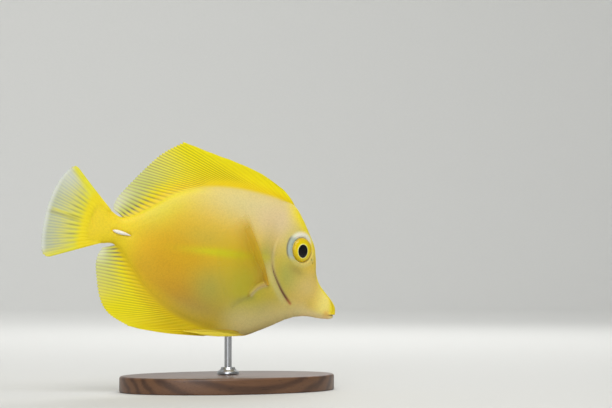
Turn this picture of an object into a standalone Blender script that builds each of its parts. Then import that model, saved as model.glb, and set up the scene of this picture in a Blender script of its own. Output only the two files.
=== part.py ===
"""A yellow tang as a life-size museum model: a still, half-grown fish, nose down on a plain stand.

The fish is modelled in its own frame, in millimetres: nose along +X, back along +Z, its right side
towards -Y, and the origin in the root of its tail. One empty tips the whole fish and lifts it over
the stand. The scene's origin is the centre of the stand's underside.
"""

import math

import bmesh
import bpy
from mathutils import Vector

MM = 0.001
GAP = 0.3

# The whole fish: how it is tipped, and the sideways sweep of its tail
NOSE_DOWN_DEG = 17.0
TAIL_END_X = -27.5
SWEEP_FROM_X = 35.0
SWEEP = 4.0

# Body stations from the tail root to the snout:
# place along the fish, top edge, bottom edge, level of the widest point, half width
BODY = (
    (-6.0, 8.0, -7.4, 0.2, 0.9),
    (-3.0, 6.3, -6.2, 0.2, 1.5),
    (1.0, 5.3, -5.2, 0.2, 2.3),
    (5.0, 7.6, -7.7, 0.5, 3.1),
    (10.0, 12.2, -12.3, 1.0, 4.0),
    (18.0, 20.4, -18.9, 1.8, 5.2),
    (28.0, 26.1, -23.4, 2.5, 6.4),
    (40.0, 29.4, -25.5, 3.0, 7.2),
    (52.0, 30.7, -25.3, 3.1, 7.5),
    (60.0, 30.7, -23.2, 3.4, 7.3),
    (65.5, 29.4, -19.6, 3.8, 6.9),
    (70.0, 25.4, -16.2, 4.0, 6.3),
    (74.0, 21.4, -13.0, 3.4, 5.5),
    (77.4, 17.6, -10.9, 2.2, 4.7),
    (79.4, 13.3, -10.0, 1.2, 4.1),
    (81.0, 8.4, -9.4, 0.2, 3.7),
    (83.6, 4.3, -8.8, -1.6, 3.2),
    (87.0, 1.7, -8.3, -2.9, 2.6),
    (90.0, -0.2, -7.6, -3.7, 2.0),
    (92.1, -2.1, -6.7, -4.3, 1.4),
    (93.0, -3.6, -5.6, -4.6, 0.6),
)
SNOUT_TIP = (93.1, -4.6)
SECTION_FULLNESS = 2.15
RINGS_PER_STATION = 2
RING_POINTS = 28

# Where the body is parted, as lines seen from the side
GILL_LINE = (
    (67.5, 36.0), (63.4, 25.0), (60.2, 17.0), (59.4, 12.3), (60.0, 8.2), (61.3, 4.0),
    (63.8, 0.8), (67.3, -2.6), (70.9, -5.3), (73.8, -7.0), (76.8, -9.6), (78.9, -14.6),
)
TAIL_LINE = ((9.0, 36.0), (8.0, 6.0), (7.6, 0.0), (8.0, -6.0), (9.0, -36.0))
GILL_COVER_FRONT = ((61.5, 11.4), (64.6, 7.6), (67.3, 2.0), (70.8, -2.8), (73.9, -6.1))
GILL_COVER_DEPTH = 4.3
MOUTH_LINE = ((95.5, -5.9), (92.2, -5.55), (88.8, -4.9))
JAW_BACK = ((86.2, -6.2), (84.8, -7.6), (84.6, -12.6))

# Eye: a flattened ball that looks outwards, a little forwards and up
EYE_AT = (70.7, 3.95, 13.5)
EYE_GAZE = (0.36, 1.0, 0.06)
EYE_RADIUS = 4.9
EYE_FRONT = 2.75
EYE_BACK = 2.35
PUPIL_RADIUS = 2.5
PUPIL_RISE = 0.14
ORBIT_WIDTH = 1.05
ORBIT_DROP = 0.85
EYE_STEPS = 20

NOSTRILS = ((76.3, 12.2, 0.55), (77.3, 10.9, 0.4))

# Lips: bead radius, and the line that each follows from the mouth's corner to its front
LIP_RADIUS = 0.55
UPPER_LIP = ((89.0, -4.1), (90.6, -4.4), (91.8, -4.65), (92.5, -4.75))
LOWER_LIP = ((88.6, -5.75), (89.9, -6.1), (90.9, -6.3), (91.5, -6.4))

# Blade on each side of the tail root, folded forwards into its groove
BLADE_AT = (2.3, -0.6)
BLADE_LENGTH = 6.8
BLADE_HEIGHT = 1.5
BLADE_THICKNESS = 1.3

# Fins: outline points are seen from the side, rays are counted from the front,
# and a root's three places are where the spines start, where the soft rays start and where they end
FIN_TIP_HALF = 0.26
RAY_RISE = 0.2
RAY_WIDTH = 0.46
EDGE_DIP = 0.35
DORSAL_RAYS = (5, 24)
DORSAL_ROOT = (65.6, 51.0, 1.6)
DORSAL_LEAN = 1.0
DORSAL_FRONT_EDGE = ((58.4, 34.9), (49.0, 37.6), (38.3, 38.7), (27.9, 39.0), (16.5, 39.3))
DORSAL_REAR_EDGE = ((16.5, 39.3), (8.8, 33.4), (3.3, 24.3), (-1.6, 13.5), (-2.8, 9.2), (-2.4, 7.2))
ANAL_RAYS = (3, 20)
ANAL_ROOT = (48.0, 44.0, 1.8)
ANAL_LEAN = 0.78
ANAL_FRONT_EDGE = ((43.0, -28.3), (31.5, -30.9), (20.6, -32.4), (15.0, -32.7))
ANAL_REAR_EDGE = (
    (15.0, -32.7), (6.6, -30.3), (1.4, -25.2), (-2.5, -16.6), (-3.4, -11.5), (-2.4, -7.6),
)
CAUDAL_RAYS = 16
CAUDAL_EDGE = (
    (-21.2, 19.2), (-24.6, 12.8), (-26.2, 4.6), (-26.3, -2.2), (-25.5, -9.6), (-23.7, -15.4),
    (-21.6, -17.6),
)
PECTORAL_RAYS = 15
PECTORAL_BASE = ((62.0, -2.4), (60.0, -3.3), (57.6, -5.6), (56.0, -9.0))
PECTORAL_EDGE = (
    (43.4, 19.4), (39.2, 15.8), (36.4, 9.2), (36.8, 1.6), (40.2, -6.0), (45.0, -12.2), (49.6, -15.6),
)
PECTORAL_FLARE = 4.2
PELVIC_RAYS = 6
PELVIC_UPPER_EDGE = ((60.2, -20.9), (50.0, -23.0), (38.0, -26.4))
PELVIC_LOWER_EDGE = ((59.4, -23.2), (48.0, -26.9), (36.0, -28.9))
PELVIC_KEEL_CLEAR = (2.35, 1.4)

# Stand: a flat oval base and one rod up into the belly
BASE_SIZE = (84.0, 54.0)
BASE_THICKNESS = 6.0
BASE_EDGE = 1.0
ROD_RADIUS = 1.4
ROD_AT_BODY_X = 54.0
ROD_IN_BELLY = 5.0
FISH_LIFT = 60.5
COLLAR_RADIUS = 4.2
COLLAR_HEIGHT = 2.6

NOSE_DOWN = math.radians(NOSE_DOWN_DEG)

# Cutters, in millimetres: how far they reach to each side, and beyond the body's outline
CUTTER_REACH = 20.0
BEYOND_NOSE = 110.0
BEYOND_TAIL = -20.0
BEYOND_BACK = 36.0
BEYOND_BELLY = -36.0
BELOW_CHIN = -14.0
JAW_CUTTER_FOOT = -12.6

# Gaps along the gill slit and round the gill cover and jaw
SLIT_HALF = GAP * 0.8
COVER_GAP = GAP * 1.2
COVER_SPAN = (-7.1, 12.0)

# Half thickness of each fin where it meets the body, and the bow of the spines in front
DORSAL_ROOT_HALF = 0.9
ANAL_ROOT_HALF = 0.7
CAUDAL_ROOT_HALF = 0.75
PECTORAL_ROOT_HALF = 0.6
PELVIC_ROOT_HALF = 0.45
DORSAL_BOW = 0.6
ANAL_BOW = 0.3


def clear_scene():
    """Remove every object, so that the model starts from an empty scene."""
    for obj in list(bpy.data.objects):
        bpy.data.objects.remove(obj, do_unlink=True)


def make_collection(name):
    collection = bpy.data.collections.new(name)
    bpy.context.scene.collection.children.link(collection)
    return collection


def make_material(name, colour, roughness, metallic=0.0):
    """A Principled material with a plain colour."""
    material = bpy.data.materials.new(name)
    material.use_nodes = True
    shader = material.node_tree.nodes["Principled BSDF"]
    shader.inputs["Base Color"].default_value = (*colour, 1.0)
    shader.inputs["Roughness"].default_value = roughness
    shader.inputs["Metallic"].default_value = metallic
    material.diffuse_color = (*colour, 1.0)
    return material


def along(points, share):
    """The point at a share from 0 to 1 of the way through a row of points, on a smooth curve."""
    last = len(points) - 1
    place = min(max(share, 0.0), 1.0) * last
    i = min(int(place), last - 1)
    t = place - i
    before, start = points[max(i - 1, 0)], points[i]
    end, after = points[i + 1], points[min(i + 2, last)]
    return tuple(
        0.5 * (2 * b + (c - a) * t + (2 * a - 5 * b + 4 * c - d) * t**2 + (3 * b - a - 3 * c + d) * t**3)
        for a, b, c, d in zip(before, start, end, after)
    )


def by_length(points, share, steps=60):
    """The point at a share of the length of a smooth curve through the points."""
    curve = [Vector(along(points, k / steps)) for k in range(steps + 1)]
    lengths = [(b - a).length for a, b in zip(curve, curve[1:])]
    left = min(max(share, 0.0), 1.0) * sum(lengths)
    for a, b, length in zip(curve, curve[1:], lengths):
        if left <= length:
            return tuple(a.lerp(b, left / length))
        left -= length
    return tuple(curve[-1])


def smooth_line(points, pieces=2):
    """A smooth curve through the points, cut into a few straight pieces between each two."""
    count = (len(points) - 1) * pieces
    return [along(points, k / count) for k in range(count + 1)]


def body_at(x):
    """The body's station at a place along the fish."""
    low, high = 0.0, 1.0
    for _ in range(40):
        middle = (low + high) / 2
        if along(BODY, middle)[0] < x:
            low = middle
        else:
            high = middle
    return along(BODY, low)


def flank(x, z):
    """How far the body's skin lies from the middle plane at a point seen from the side."""
    _, top, bottom, widest, half = body_at(x)
    rise = (z - widest) / ((top - widest) if z > widest else (widest - bottom))
    if abs(rise) >= 1.0:
        return 0.0
    return half * (1.0 - abs(rise) ** SECTION_FULLNESS) ** (1.0 / SECTION_FULLNESS)


def sweep(x):
    """How far the tail's sweep carries a point sideways, towards the fish's left."""
    behind = max(SWEEP_FROM_X - x, 0.0) / (SWEEP_FROM_X - TAIL_END_X)
    return SWEEP * behind**2


def place(x, y, z):
    """A point of the fish, in metres, with the tail's sweep."""
    return (x * MM, (y + sweep(x)) * MM, z * MM)


def new_object(name, mesh, collection, material=None, parent=None):
    obj = bpy.data.objects.new(name, mesh)
    collection.objects.link(obj)
    obj.parent = parent
    if material:
        mesh.materials.append(material)
    return obj


def mesh_of(name, points, faces):
    mesh = bpy.data.meshes.new(name)
    mesh.from_pydata(points, [], faces)
    mesh.validate()
    return mesh


def finish_round(obj, angle_deg=40.0):
    """Smooth shading that breaks only at edges sharper than the angle."""
    obj.data.shade_smooth()
    obj.data.set_sharp_from_angle(angle=math.radians(angle_deg))
    return obj


def hide_helper(obj):
    obj.hide_render = True
    obj.display_type = "WIRE"
    return obj


def boolean(obj, other, operation):
    """Join, cut or keep the shared part of two closed meshes."""
    modifier = obj.modifiers.new(f"{operation.lower()} {other.name}", "BOOLEAN")
    modifier.operation = operation
    modifier.object = other
    modifier.solver = "EXACT"
    return modifier


def body_mesh(name, grow=0.0):
    """The whole body as one loft of ringed sections from the tail root to the snout."""
    count = (len(BODY) - 1) * RINGS_PER_STATION
    power = 2.0 / SECTION_FULLNESS
    points = []
    for k in range(count + 1):
        x, top, bottom, widest, half = along(BODY, k / count)
        for j in range(RING_POINTS):
            angle = 2.0 * math.pi * j / RING_POINTS
            rise, out = math.sin(angle), math.cos(angle)
            reach = (top - widest if rise > 0 else widest - bottom) + grow
            z = widest + reach * math.copysign(abs(rise) ** power, rise)
            y = (half + grow) * math.copysign(abs(out) ** power, out)
            points.append(place(x, y, z))
    faces = []
    for k in range(count):
        for j in range(RING_POINTS):
            a, b = k * RING_POINTS + j, k * RING_POINTS + (j + 1) % RING_POINTS
            faces.append((a, b, b + RING_POINTS, a + RING_POINTS))
    faces.append(tuple(reversed(range(RING_POINTS))))
    first_of_last = count * RING_POINTS
    points.append(place(SNOUT_TIP[0] + grow, 0.0, SNOUT_TIP[1]))
    for j in range(RING_POINTS):
        faces.append((first_of_last + j, first_of_last + (j + 1) % RING_POINTS, len(points) - 1))
    return mesh_of(name, points, faces)


def prism(name, outline, collection, parent, from_y=-CUTTER_REACH, to_y=CUTTER_REACH):
    """A closed block: an outline seen from the side, as deep as from one side plane to the other."""
    curve = bpy.data.curves.new(name, "CURVE")
    curve.dimensions = "2D"
    curve.fill_mode = "BOTH"
    curve.extrude = (to_y - from_y) / 2 * MM
    spline = curve.splines.new("POLY")
    spline.points.add(len(outline) - 1)
    for point, (x, z) in zip(spline.points, outline):
        point.co = (x * MM, z * MM, 0.0, 1.0)
    spline.use_cyclic_u = True
    flat = bpy.data.objects.new(name + "_curve", curve)
    collection.objects.link(flat)
    flat.rotation_euler = (math.pi / 2, 0.0, 0.0)
    flat.location = (0.0, (from_y + to_y) / 2 * MM, 0.0)
    return as_mesh(flat, name, collection, parent)


def as_mesh(curve_object, name, collection, parent):
    """The curve as a mesh object, with its caps welded on. The curve is removed."""
    bpy.context.view_layer.update()
    graph = bpy.context.evaluated_depsgraph_get()
    mesh = bpy.data.meshes.new_from_object(curve_object.evaluated_get(graph))
    mesh.transform(curve_object.matrix_world)
    solid = bmesh.new()
    solid.from_mesh(mesh)
    bmesh.ops.remove_doubles(solid, verts=solid.verts, dist=0.00001)
    bmesh.ops.recalc_face_normals(solid, faces=solid.faces)
    solid.to_mesh(mesh)
    solid.free()
    bpy.data.objects.remove(curve_object, do_unlink=True)
    return new_object(name, mesh, collection, parent=parent)


def shifted(line, by_x):
    return [(x + by_x, z) for x, z in line]


def turned(name, profile, collection, parent, steps=EYE_STEPS, closed=False):
    """A turned solid about its own Z axis. The profile holds radius and height, from top to bottom."""
    edges = [(i, i + 1) for i in range(len(profile) - 1)]
    if closed:
        edges.append((len(profile) - 1, 0))
    mesh = bpy.data.meshes.new(name)
    mesh.from_pydata([(r * MM, 0.0, h * MM) for r, h in profile], edges, [])
    obj = new_object(name, mesh, collection, parent=parent)
    screw = obj.modifiers.new("turn", "SCREW")
    screw.axis = "Z"
    screw.steps = steps
    screw.render_steps = steps
    screw.use_merge_vertices = True
    screw.merge_threshold = 0.00001
    screw.use_smooth_shade = True
    return obj


def ball_profile(radius, front, back, step_degrees=15):
    """Half the outline of a flattened ball, from its front pole to its back pole."""
    profile = []
    for degrees in range(90, -91, -step_degrees):
        angle = math.radians(degrees)
        depth = front if degrees > 0 else back
        out = 0.0 if abs(degrees) == 90 else radius * math.cos(angle)
        profile.append((out, depth * math.sin(angle)))
    return profile


def eye_profile():
    """The eyeball's outline, with the pupil as a disc that stands a little proud."""
    profile = [(0.0, EYE_FRONT + PUPIL_RISE)]
    for radius in (PUPIL_RADIUS * 0.55, PUPIL_RADIUS):
        level = EYE_FRONT * math.sqrt(1.0 - (radius / EYE_RADIUS) ** 2)
        profile.append((radius, level + PUPIL_RISE))
    rest = [p for p in ball_profile(EYE_RADIUS, EYE_FRONT, EYE_BACK) if p[0] > PUPIL_RADIUS]
    front = [p for p in rest if p[1] > 0.0]
    level = EYE_FRONT * math.sqrt(1.0 - (PUPIL_RADIUS / EYE_RADIUS) ** 2)
    profile.append((PUPIL_RADIUS + 0.08, level))
    profile += [p for p in front if p[0] > PUPIL_RADIUS + 0.2]
    profile += [p for p in ball_profile(EYE_RADIUS, EYE_FRONT, EYE_BACK) if p[1] <= 0.0]
    return profile


def look_out(obj, side):
    """Set an eye piece in its place on one side, turned the way the eye looks."""
    x, y, z = EYE_AT
    obj.location = (x * MM, side * y * MM, z * MM)
    gaze = Vector((EYE_GAZE[0], side * EYE_GAZE[1], EYE_GAZE[2]))
    obj.rotation_euler = gaze.to_track_quat("Z", "Y").to_euler()
    return obj


def lip(name, line, collection, parent):
    """A bead along one jaw's edge, round the front of the mouth from corner to corner."""
    points = [(x, flank(x, z), z) for x, z in smooth_line(line)]
    points[-1] = (points[-1][0], 0.0, points[-1][2])
    points += [(x, -y, z) for x, y, z in reversed(points[:-1])]
    curve = bpy.data.curves.new(name, "CURVE")
    curve.dimensions = "3D"
    curve.bevel_depth = LIP_RADIUS * MM
    curve.bevel_resolution = 1
    curve.use_fill_caps = True
    spline = curve.splines.new("POLY")
    spline.points.add(len(points) - 1)
    for point, (x, y, z) in zip(spline.points, points):
        point.co = (x * MM, y * MM, z * MM, 1.0)
    bead = bpy.data.objects.new(name + "_curve", curve)
    collection.objects.link(bead)
    return hide_helper(as_mesh(bead, name, collection, parent))


def gill_cover_outline():
    """The gill cover seen from the side, from the top of the gill slit round to its front edge."""
    rear = [p for p in smooth_line(shifted(GILL_LINE, SLIT_HALF)) if COVER_SPAN[0] < p[1] < COVER_SPAN[1]]
    return rear + list(reversed(smooth_line(GILL_COVER_FRONT)))


def gill_cover_recess():
    """The place of the gill cover in the head, wider by the gap and open to the gill slit."""
    front = shifted(smooth_line(GILL_COVER_FRONT), COVER_GAP)
    top, foot = front[0], front[-1]
    behind = GILL_LINE[3][0] - 3.0
    ends = [(behind, GILL_LINE[3][1] + 2 * GAP), (top[0], top[1] + 1.6 * GAP)]
    return ends + front + [(foot[0], foot[1] - 5 * GAP), (behind, foot[1] - 7 * GAP)]


def build_body_parts(parts, helpers, skin, fish):
    """Head, gill covers, lower jaw, torso and tail root, parted from one body by thin cuts."""
    gill_front = smooth_line(shifted(GILL_LINE, SLIT_HALF))
    gill_back = smooth_line(shifted(GILL_LINE, -SLIT_HALF))
    tail_front = smooth_line(shifted(TAIL_LINE, GAP / 2))
    tail_back = smooth_line(shifted(TAIL_LINE, -GAP / 2))
    regions = {
        "head": gill_front + [(BEYOND_NOSE, BELOW_CHIN), (BEYOND_NOSE, BEYOND_BACK)],
        "torso": tail_front + [(GILL_LINE[-1][0], BEYOND_BELLY)] + list(reversed(gill_back)),
        "tail_root": tail_back + [(BEYOND_TAIL, BEYOND_BELLY), (BEYOND_TAIL, BEYOND_BACK)],
    }
    made = {}
    for name, outline in regions.items():
        obj = new_object(name, body_mesh(name), parts, skin, fish)
        region = hide_helper(prism("keep_" + name, outline, helpers, fish))
        boolean(obj, region, "INTERSECT")
        made[name] = obj
    jaw_line = list(MOUTH_LINE) + list(JAW_BACK)
    jaw = new_object("lower_jaw", body_mesh("lower_jaw"), parts, skin, fish)
    jaw_keep = [(x, z - GAP / 2) for x, z in MOUTH_LINE] + list(JAW_BACK)
    jaw_keep.append((MOUTH_LINE[0][0], JAW_CUTTER_FOOT))
    jaw_cut = [(x, z + GAP / 2) for x, z in MOUTH_LINE] + shifted(JAW_BACK, -COVER_GAP)
    jaw_cut.append((MOUTH_LINE[0][0] + GAP, JAW_CUTTER_FOOT))
    jaw_cut[2] = (jaw_line[2][0] - GAP, jaw_line[2][1] + GAP / 2)
    boolean(jaw, hide_helper(prism("keep_jaw", jaw_keep, helpers, fish)), "INTERSECT")
    boolean(made["head"], hide_helper(prism("cut_jaw", jaw_cut, helpers, fish)), "DIFFERENCE")
    boolean(made["head"], lip("upper_lip_bead", UPPER_LIP, helpers, fish), "UNION")
    boolean(jaw, lip("lower_lip_bead", LOWER_LIP, helpers, fish), "UNION")
    made["lower_jaw"] = jaw
    for side, word in ((1, "left"), (-1, "right")):
        name = "gill_cover_" + word
        cover = new_object(name, body_mesh(name), parts, skin, fish)
        keep_y = sorted((side * GILL_COVER_DEPTH, side * CUTTER_REACH))
        cut_y = sorted((side * (GILL_COVER_DEPTH - GAP), side * CUTTER_REACH))
        keep = prism("keep_" + name, gill_cover_outline(), helpers, fish, *keep_y)
        cut = prism("cut_" + name, gill_cover_recess(), helpers, fish, *cut_y)
        boolean(cover, hide_helper(keep), "INTERSECT")
        boolean(made["head"], hide_helper(cut), "DIFFERENCE")
        made[name] = cover
    return made


def build_eyes(parts, helpers, head, material, fish):
    """Both eyes, each in a socket with a raised rim in the head."""
    for side, word in ((1, "left"), (-1, "right")):
        rim_ball = ball_profile(EYE_RADIUS + ORBIT_WIDTH, EYE_FRONT - ORBIT_DROP, EYE_BACK)
        rim = hide_helper(look_out(turned("orbit_" + word, rim_ball, helpers, fish), side))
        boolean(head, rim, "UNION")
    for side, word in ((1, "left"), (-1, "right")):
        hollow_ball = ball_profile(EYE_RADIUS + GAP, EYE_FRONT + GAP, EYE_BACK + GAP)
        hollow = hide_helper(look_out(turned("socket_" + word, hollow_ball, helpers, fish), side))
        boolean(head, hollow, "DIFFERENCE")
        eye = look_out(turned("eye_" + word, eye_profile(), parts, fish), side)
        eye.data.materials.append(material)


def small_ball(name, centre, size, collection, parent):
    """A ball of the given half sizes, used as a cutter."""
    solid = bmesh.new()
    bmesh.ops.create_uvsphere(solid, u_segments=10, v_segments=6, radius=1.0)
    bmesh.ops.scale(solid, vec=[s * MM for s in size], verts=solid.verts)
    bmesh.ops.translate(solid, vec=place(*centre), verts=solid.verts)
    mesh = bpy.data.meshes.new(name)
    solid.to_mesh(mesh)
    solid.free()
    return hide_helper(new_object(name, mesh, collection, parent=parent))


def build_nostrils(helpers, head, fish):
    for side, word in ((1, "left"), (-1, "right")):
        for number, (x, z, radius) in enumerate(NOSTRILS, 1):
            centre = (x, side * flank(x, z), z)
            pit = small_ball(f"nostril_{word}_{number}", centre, (radius,) * 3, helpers, fish)
            boolean(head, pit, "DIFFERENCE")


def blade_mesh(name, side, grow):
    """A tapered blade that lies along the tail root, its point forwards."""
    x0, z0 = BLADE_AT
    sections, around = 8, 8
    half_long = BLADE_LENGTH / 2 + grow
    points = []
    for k in range(1, sections):
        share = k / sections
        x = x0 - half_long + 2 * half_long * share
        swell = (math.sin(math.pi * share ** 0.7)) ** 0.8
        middle_y = side * (flank(x, z0) + 0.05)
        for j in range(around):
            angle = 2 * math.pi * j / around
            y = middle_y + (BLADE_THICKNESS / 2 * swell + grow) * math.cos(angle)
            z = z0 + (BLADE_HEIGHT / 2 * swell + grow) * math.sin(angle)
            points.append(place(x, y, z))
    faces = []
    rings = sections - 1
    for k in range(rings - 1):
        for j in range(around):
            a, b = k * around + j, k * around + (j + 1) % around
            faces.append((a, b, b + around, a + around))
    for end, x in ((0, x0 - half_long), (rings - 1, x0 + half_long)):
        points.append(place(x, side * (flank(x, z0) + 0.05), z0))
        for j in range(around):
            a, b = end * around + j, end * around + (j + 1) % around
            faces.append((b, a, len(points) - 1) if end == 0 else (a, b, len(points) - 1))
    return mesh_of(name, points, faces)


def build_blades(parts, helpers, tail_root, material, fish):
    for side, word in ((1, "left"), (-1, "right")):
        name = "tail_blade_" + word
        finish_round(new_object(name, blade_mesh(name, side, 0.0), parts, material, fish))
        groove_name = "groove_" + word
        groove = new_object(groove_name, blade_mesh(groove_name, side, GAP), helpers, parent=fish)
        boolean(tail_root, hide_helper(groove), "DIFFERENCE")


def fin_sheet(name, centre, root_half, rays, rows, collection, material, fish, spines=0):
    """A rayed fin: a thin closed sheet about a middle surface, with a ridge along each ray.

    centre(s, t) is a point of the middle surface, with s from the first ray to the last and t from
    root to edge. The thickness is laid off to the fish's left and right, and the sheet is split into
    triangles alike on both faces.
    """
    step = 0.01
    sideways = Vector((0.0, 1.0, 0.0))
    columns = [0.0]
    for k in range(rays):
        columns += [(k + 0.5 + offset * RAY_WIDTH / 2) / rays for offset in (-1, 0, 1)]
    columns.append(1.0)
    left, right = [], []
    for i in range(rows + 1):
        for j, s in enumerate(columns):
            on_ray = 0 < j < len(columns) - 1 and j % 3 == 2
            t = i / rows
            here = Vector(centre(s, t))
            thick = FIN_TIP_HALF + (root_half - FIN_TIP_HALF) * (1.0 - t) ** 2
            if on_ray:
                thick += RAY_RISE * (1.4 if s * rays < spines else 1.0) * (1.0 - 0.4 * t)
            elif i == rows and s * rays >= spines:
                here -= (here - Vector(centre(s, 1.0 - step))).normalized() * EDGE_DIP
            left.append(place(*(here + sideways * thick)))
            right.append(place(*(here - sideways * thick)))
    obj = new_object(name, mesh_of(name, left + right, sheet_faces(len(columns), rows)), collection)
    obj.parent = fish
    obj.data.materials.append(material)
    face_outwards(obj.data)
    return finish_round(obj, 60.0)


def sheet_faces(wide, rows):
    """Triangles of a closed sheet: two grids of the same points, joined round their border."""
    offset = wide * (rows + 1)
    faces = []
    for i in range(rows):
        for j in range(wide - 1):
            a, b = i * wide + j, i * wide + j + 1
            c, d = b + wide, a + wide
            faces += [(a, b, c), (a, c, d)]
            faces += [(a + offset, c + offset, b + offset), (a + offset, d + offset, c + offset)]
    border = list(range(wide))
    border += [i * wide + wide - 1 for i in range(1, rows + 1)]
    border += [rows * wide + j for j in range(wide - 2, -1, -1)]
    border += [i * wide for i in range(rows - 1, 0, -1)]
    for a, b in zip(border, border[1:] + border[:1]):
        faces += [(b, a, a + offset), (b, a + offset, b + offset)]
    return faces


def face_outwards(mesh):
    solid = bmesh.new()
    solid.from_mesh(mesh)
    bmesh.ops.recalc_face_normals(solid, faces=solid.faces)
    solid.to_mesh(mesh)
    solid.free()


def edge_with_peak(front_edge, rear_edge, share):
    """An outer edge in two smooth runs that meet at the fin's peak, at that share of the rays."""

    def edge(s):
        if s < share:
            return by_length(front_edge, s / share)
        return by_length(rear_edge, (s - share) / (1.0 - share))

    return edge


def median_fin(name, root, rays, edges, lean, side, swell, parts, material, fish, root_half):
    """A fin on the fish's midline: above the body where side is 1, below it where side is -1."""
    spines, soft = rays
    share = spines / (spines + soft)
    edge = edge_with_peak(*edges, share)

    def centre(s, t):
        if s < share:
            x = root[0] + (root[1] - root[0]) * s / share
        else:
            x = root[1] + (root[2] - root[1]) * ((s - share) / (1.0 - share)) ** lean
        _, top, bottom, _, _ = body_at(x)
        z = top + GAP if side > 0 else bottom - GAP
        tip = edge(s)
        bow = side * swell * 4.0 * t * (1.0 - t) * max(1.0 - s / share / 2, 0.0)
        return (x + (tip[0] - x) * t, 0.0, z + (tip[1] - z) * t + bow)

    return fin_sheet(name, centre, root_half, spines + soft, 4, parts, material, fish, spines)


def build_median_fins(parts, material, fish):
    """Dorsal, anal and tail fins."""
    edges = (DORSAL_FRONT_EDGE, DORSAL_REAR_EDGE)
    median_fin(
        "dorsal_fin", DORSAL_ROOT, DORSAL_RAYS, edges, DORSAL_LEAN, 1, DORSAL_BOW, parts, material, fish,
        DORSAL_ROOT_HALF
    )
    edges = (ANAL_FRONT_EDGE, ANAL_REAR_EDGE)
    median_fin(
        "anal_fin", ANAL_ROOT, ANAL_RAYS, edges, ANAL_LEAN, -1, ANAL_BOW, parts, material, fish,
        ANAL_ROOT_HALF
    )

    def tail_centre(s, t):
        x, top, bottom, _, _ = BODY[0]
        root_x, root_z = x - GAP, top + (bottom - top) * s
        tip = by_length(CAUDAL_EDGE, s)
        return (root_x + (tip[0] - root_x) * t, 0.0, root_z + (tip[1] - root_z) * t)

    fin_sheet("tail_fin", tail_centre, CAUDAL_ROOT_HALF, CAUDAL_RAYS, 5, parts, material, fish)


def pectoral_centre(side):
    """The middle surface of a side fin, raised along the flank and standing off it to the rear."""

    def centre(s, t):
        root, tip = along(PECTORAL_BASE, s), by_length(PECTORAL_EDGE, s)
        x, z = (root[k] + (tip[k] - root[k]) * t for k in range(2))
        flare = PECTORAL_FLARE * (0.55 + 0.45 * math.sin(math.pi * s)) * t**1.4
        return (x, side * (flank(x, z) + GAP + 0.6 + flare), z)

    return centre


def pelvic_centre(side):
    """The middle surface of a belly fin, folded back along the keel."""

    def centre(s, t):
        upper, lower = along(PELVIC_UPPER_EDGE, t), along(PELVIC_LOWER_EDGE, t)
        x, z = (lower[k] + (upper[k] - lower[k]) * s for k in range(2))
        clear = PELVIC_KEEL_CLEAR[0] + (PELVIC_KEEL_CLEAR[1] - PELVIC_KEEL_CLEAR[0]) * t**2
        return (x, side * max(flank(x, z) + GAP + 0.5, clear), z)

    return centre


def build_paired_fins(parts, material, fish):
    for side, word in ((1, "left"), (-1, "right")):
        centre = pectoral_centre(side)
        fin_sheet("pectoral_fin_" + word, centre, PECTORAL_ROOT_HALF, PECTORAL_RAYS, 4, parts, material, fish)
        centre = pelvic_centre(side)
        fin_sheet("pelvic_fin_" + word, centre, PELVIC_ROOT_HALF, PELVIC_RAYS, 4, parts, material, fish, 1)


def to_world(x, z):
    """Where a point of the fish's middle plane is in the scene, in millimetres, before it is moved."""
    return (
        x * math.cos(NOSE_DOWN) + z * math.sin(NOSE_DOWN),
        -x * math.sin(NOSE_DOWN) + z * math.cos(NOSE_DOWN),
    )


def build_stand(parts, helpers, torso, wood, steel):
    """The oval base, the rod with its collar, and the hole in the belly that takes the rod."""
    _, _, belly, _, _ = body_at(ROD_AT_BODY_X)
    belly_height = to_world(ROD_AT_BODY_X, belly)[1] + FISH_LIFT
    bpy.ops.mesh.primitive_cylinder_add(
        vertices=40, radius=0.5, depth=1.0, location=(0.0, 0.0, BASE_THICKNESS / 2 * MM)
    )
    base = bpy.context.object
    base.name = "stand_base"
    base.scale = (BASE_SIZE[0] * MM, BASE_SIZE[1] * MM, BASE_THICKNESS * MM)
    bpy.ops.object.transform_apply(location=False, rotation=False, scale=True)
    edge = base.modifiers.new("eased edge", "BEVEL")
    edge.width = BASE_EDGE * MM
    edge.segments = 2
    edge.limit_method = "ANGLE"
    base.data.materials.append(wood)
    rod_low = BASE_THICKNESS + GAP
    rod_high = belly_height + ROD_IN_BELLY
    rods = {}
    for name, radius, low, high in (
        ("stand_rod", ROD_RADIUS, rod_low, rod_high),
        ("rod_hole", ROD_RADIUS + GAP, belly_height - 10.0, rod_high + GAP),
    ):
        bpy.ops.mesh.primitive_cylinder_add(
            vertices=20, radius=radius * MM, depth=(high - low) * MM, location=(0, 0, (low + high) / 2 * MM)
        )
        rods[name] = bpy.context.object
        rods[name].name = name
    rods["stand_rod"].data.materials.append(steel)
    hide_helper(rods["rod_hole"])
    boolean(torso, rods["rod_hole"], "DIFFERENCE")
    inner = ROD_RADIUS + GAP
    profile = [
        (inner, COLLAR_HEIGHT), (inner + 0.9, COLLAR_HEIGHT), (COLLAR_RADIUS, 0.9),
        (COLLAR_RADIUS, 0.0), (inner, 0.0),
    ]
    collar = turned("stand_collar", profile, parts, None, steps=28, closed=True)
    collar.location.z = rod_low * MM
    collar.data.materials.append(steel)
    for obj, group in ((base, parts), (rods["stand_rod"], parts), (rods["rod_hole"], helpers)):
        for old in list(obj.users_collection):
            old.objects.unlink(obj)
        group.objects.link(obj)
        finish_round(obj)


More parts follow.
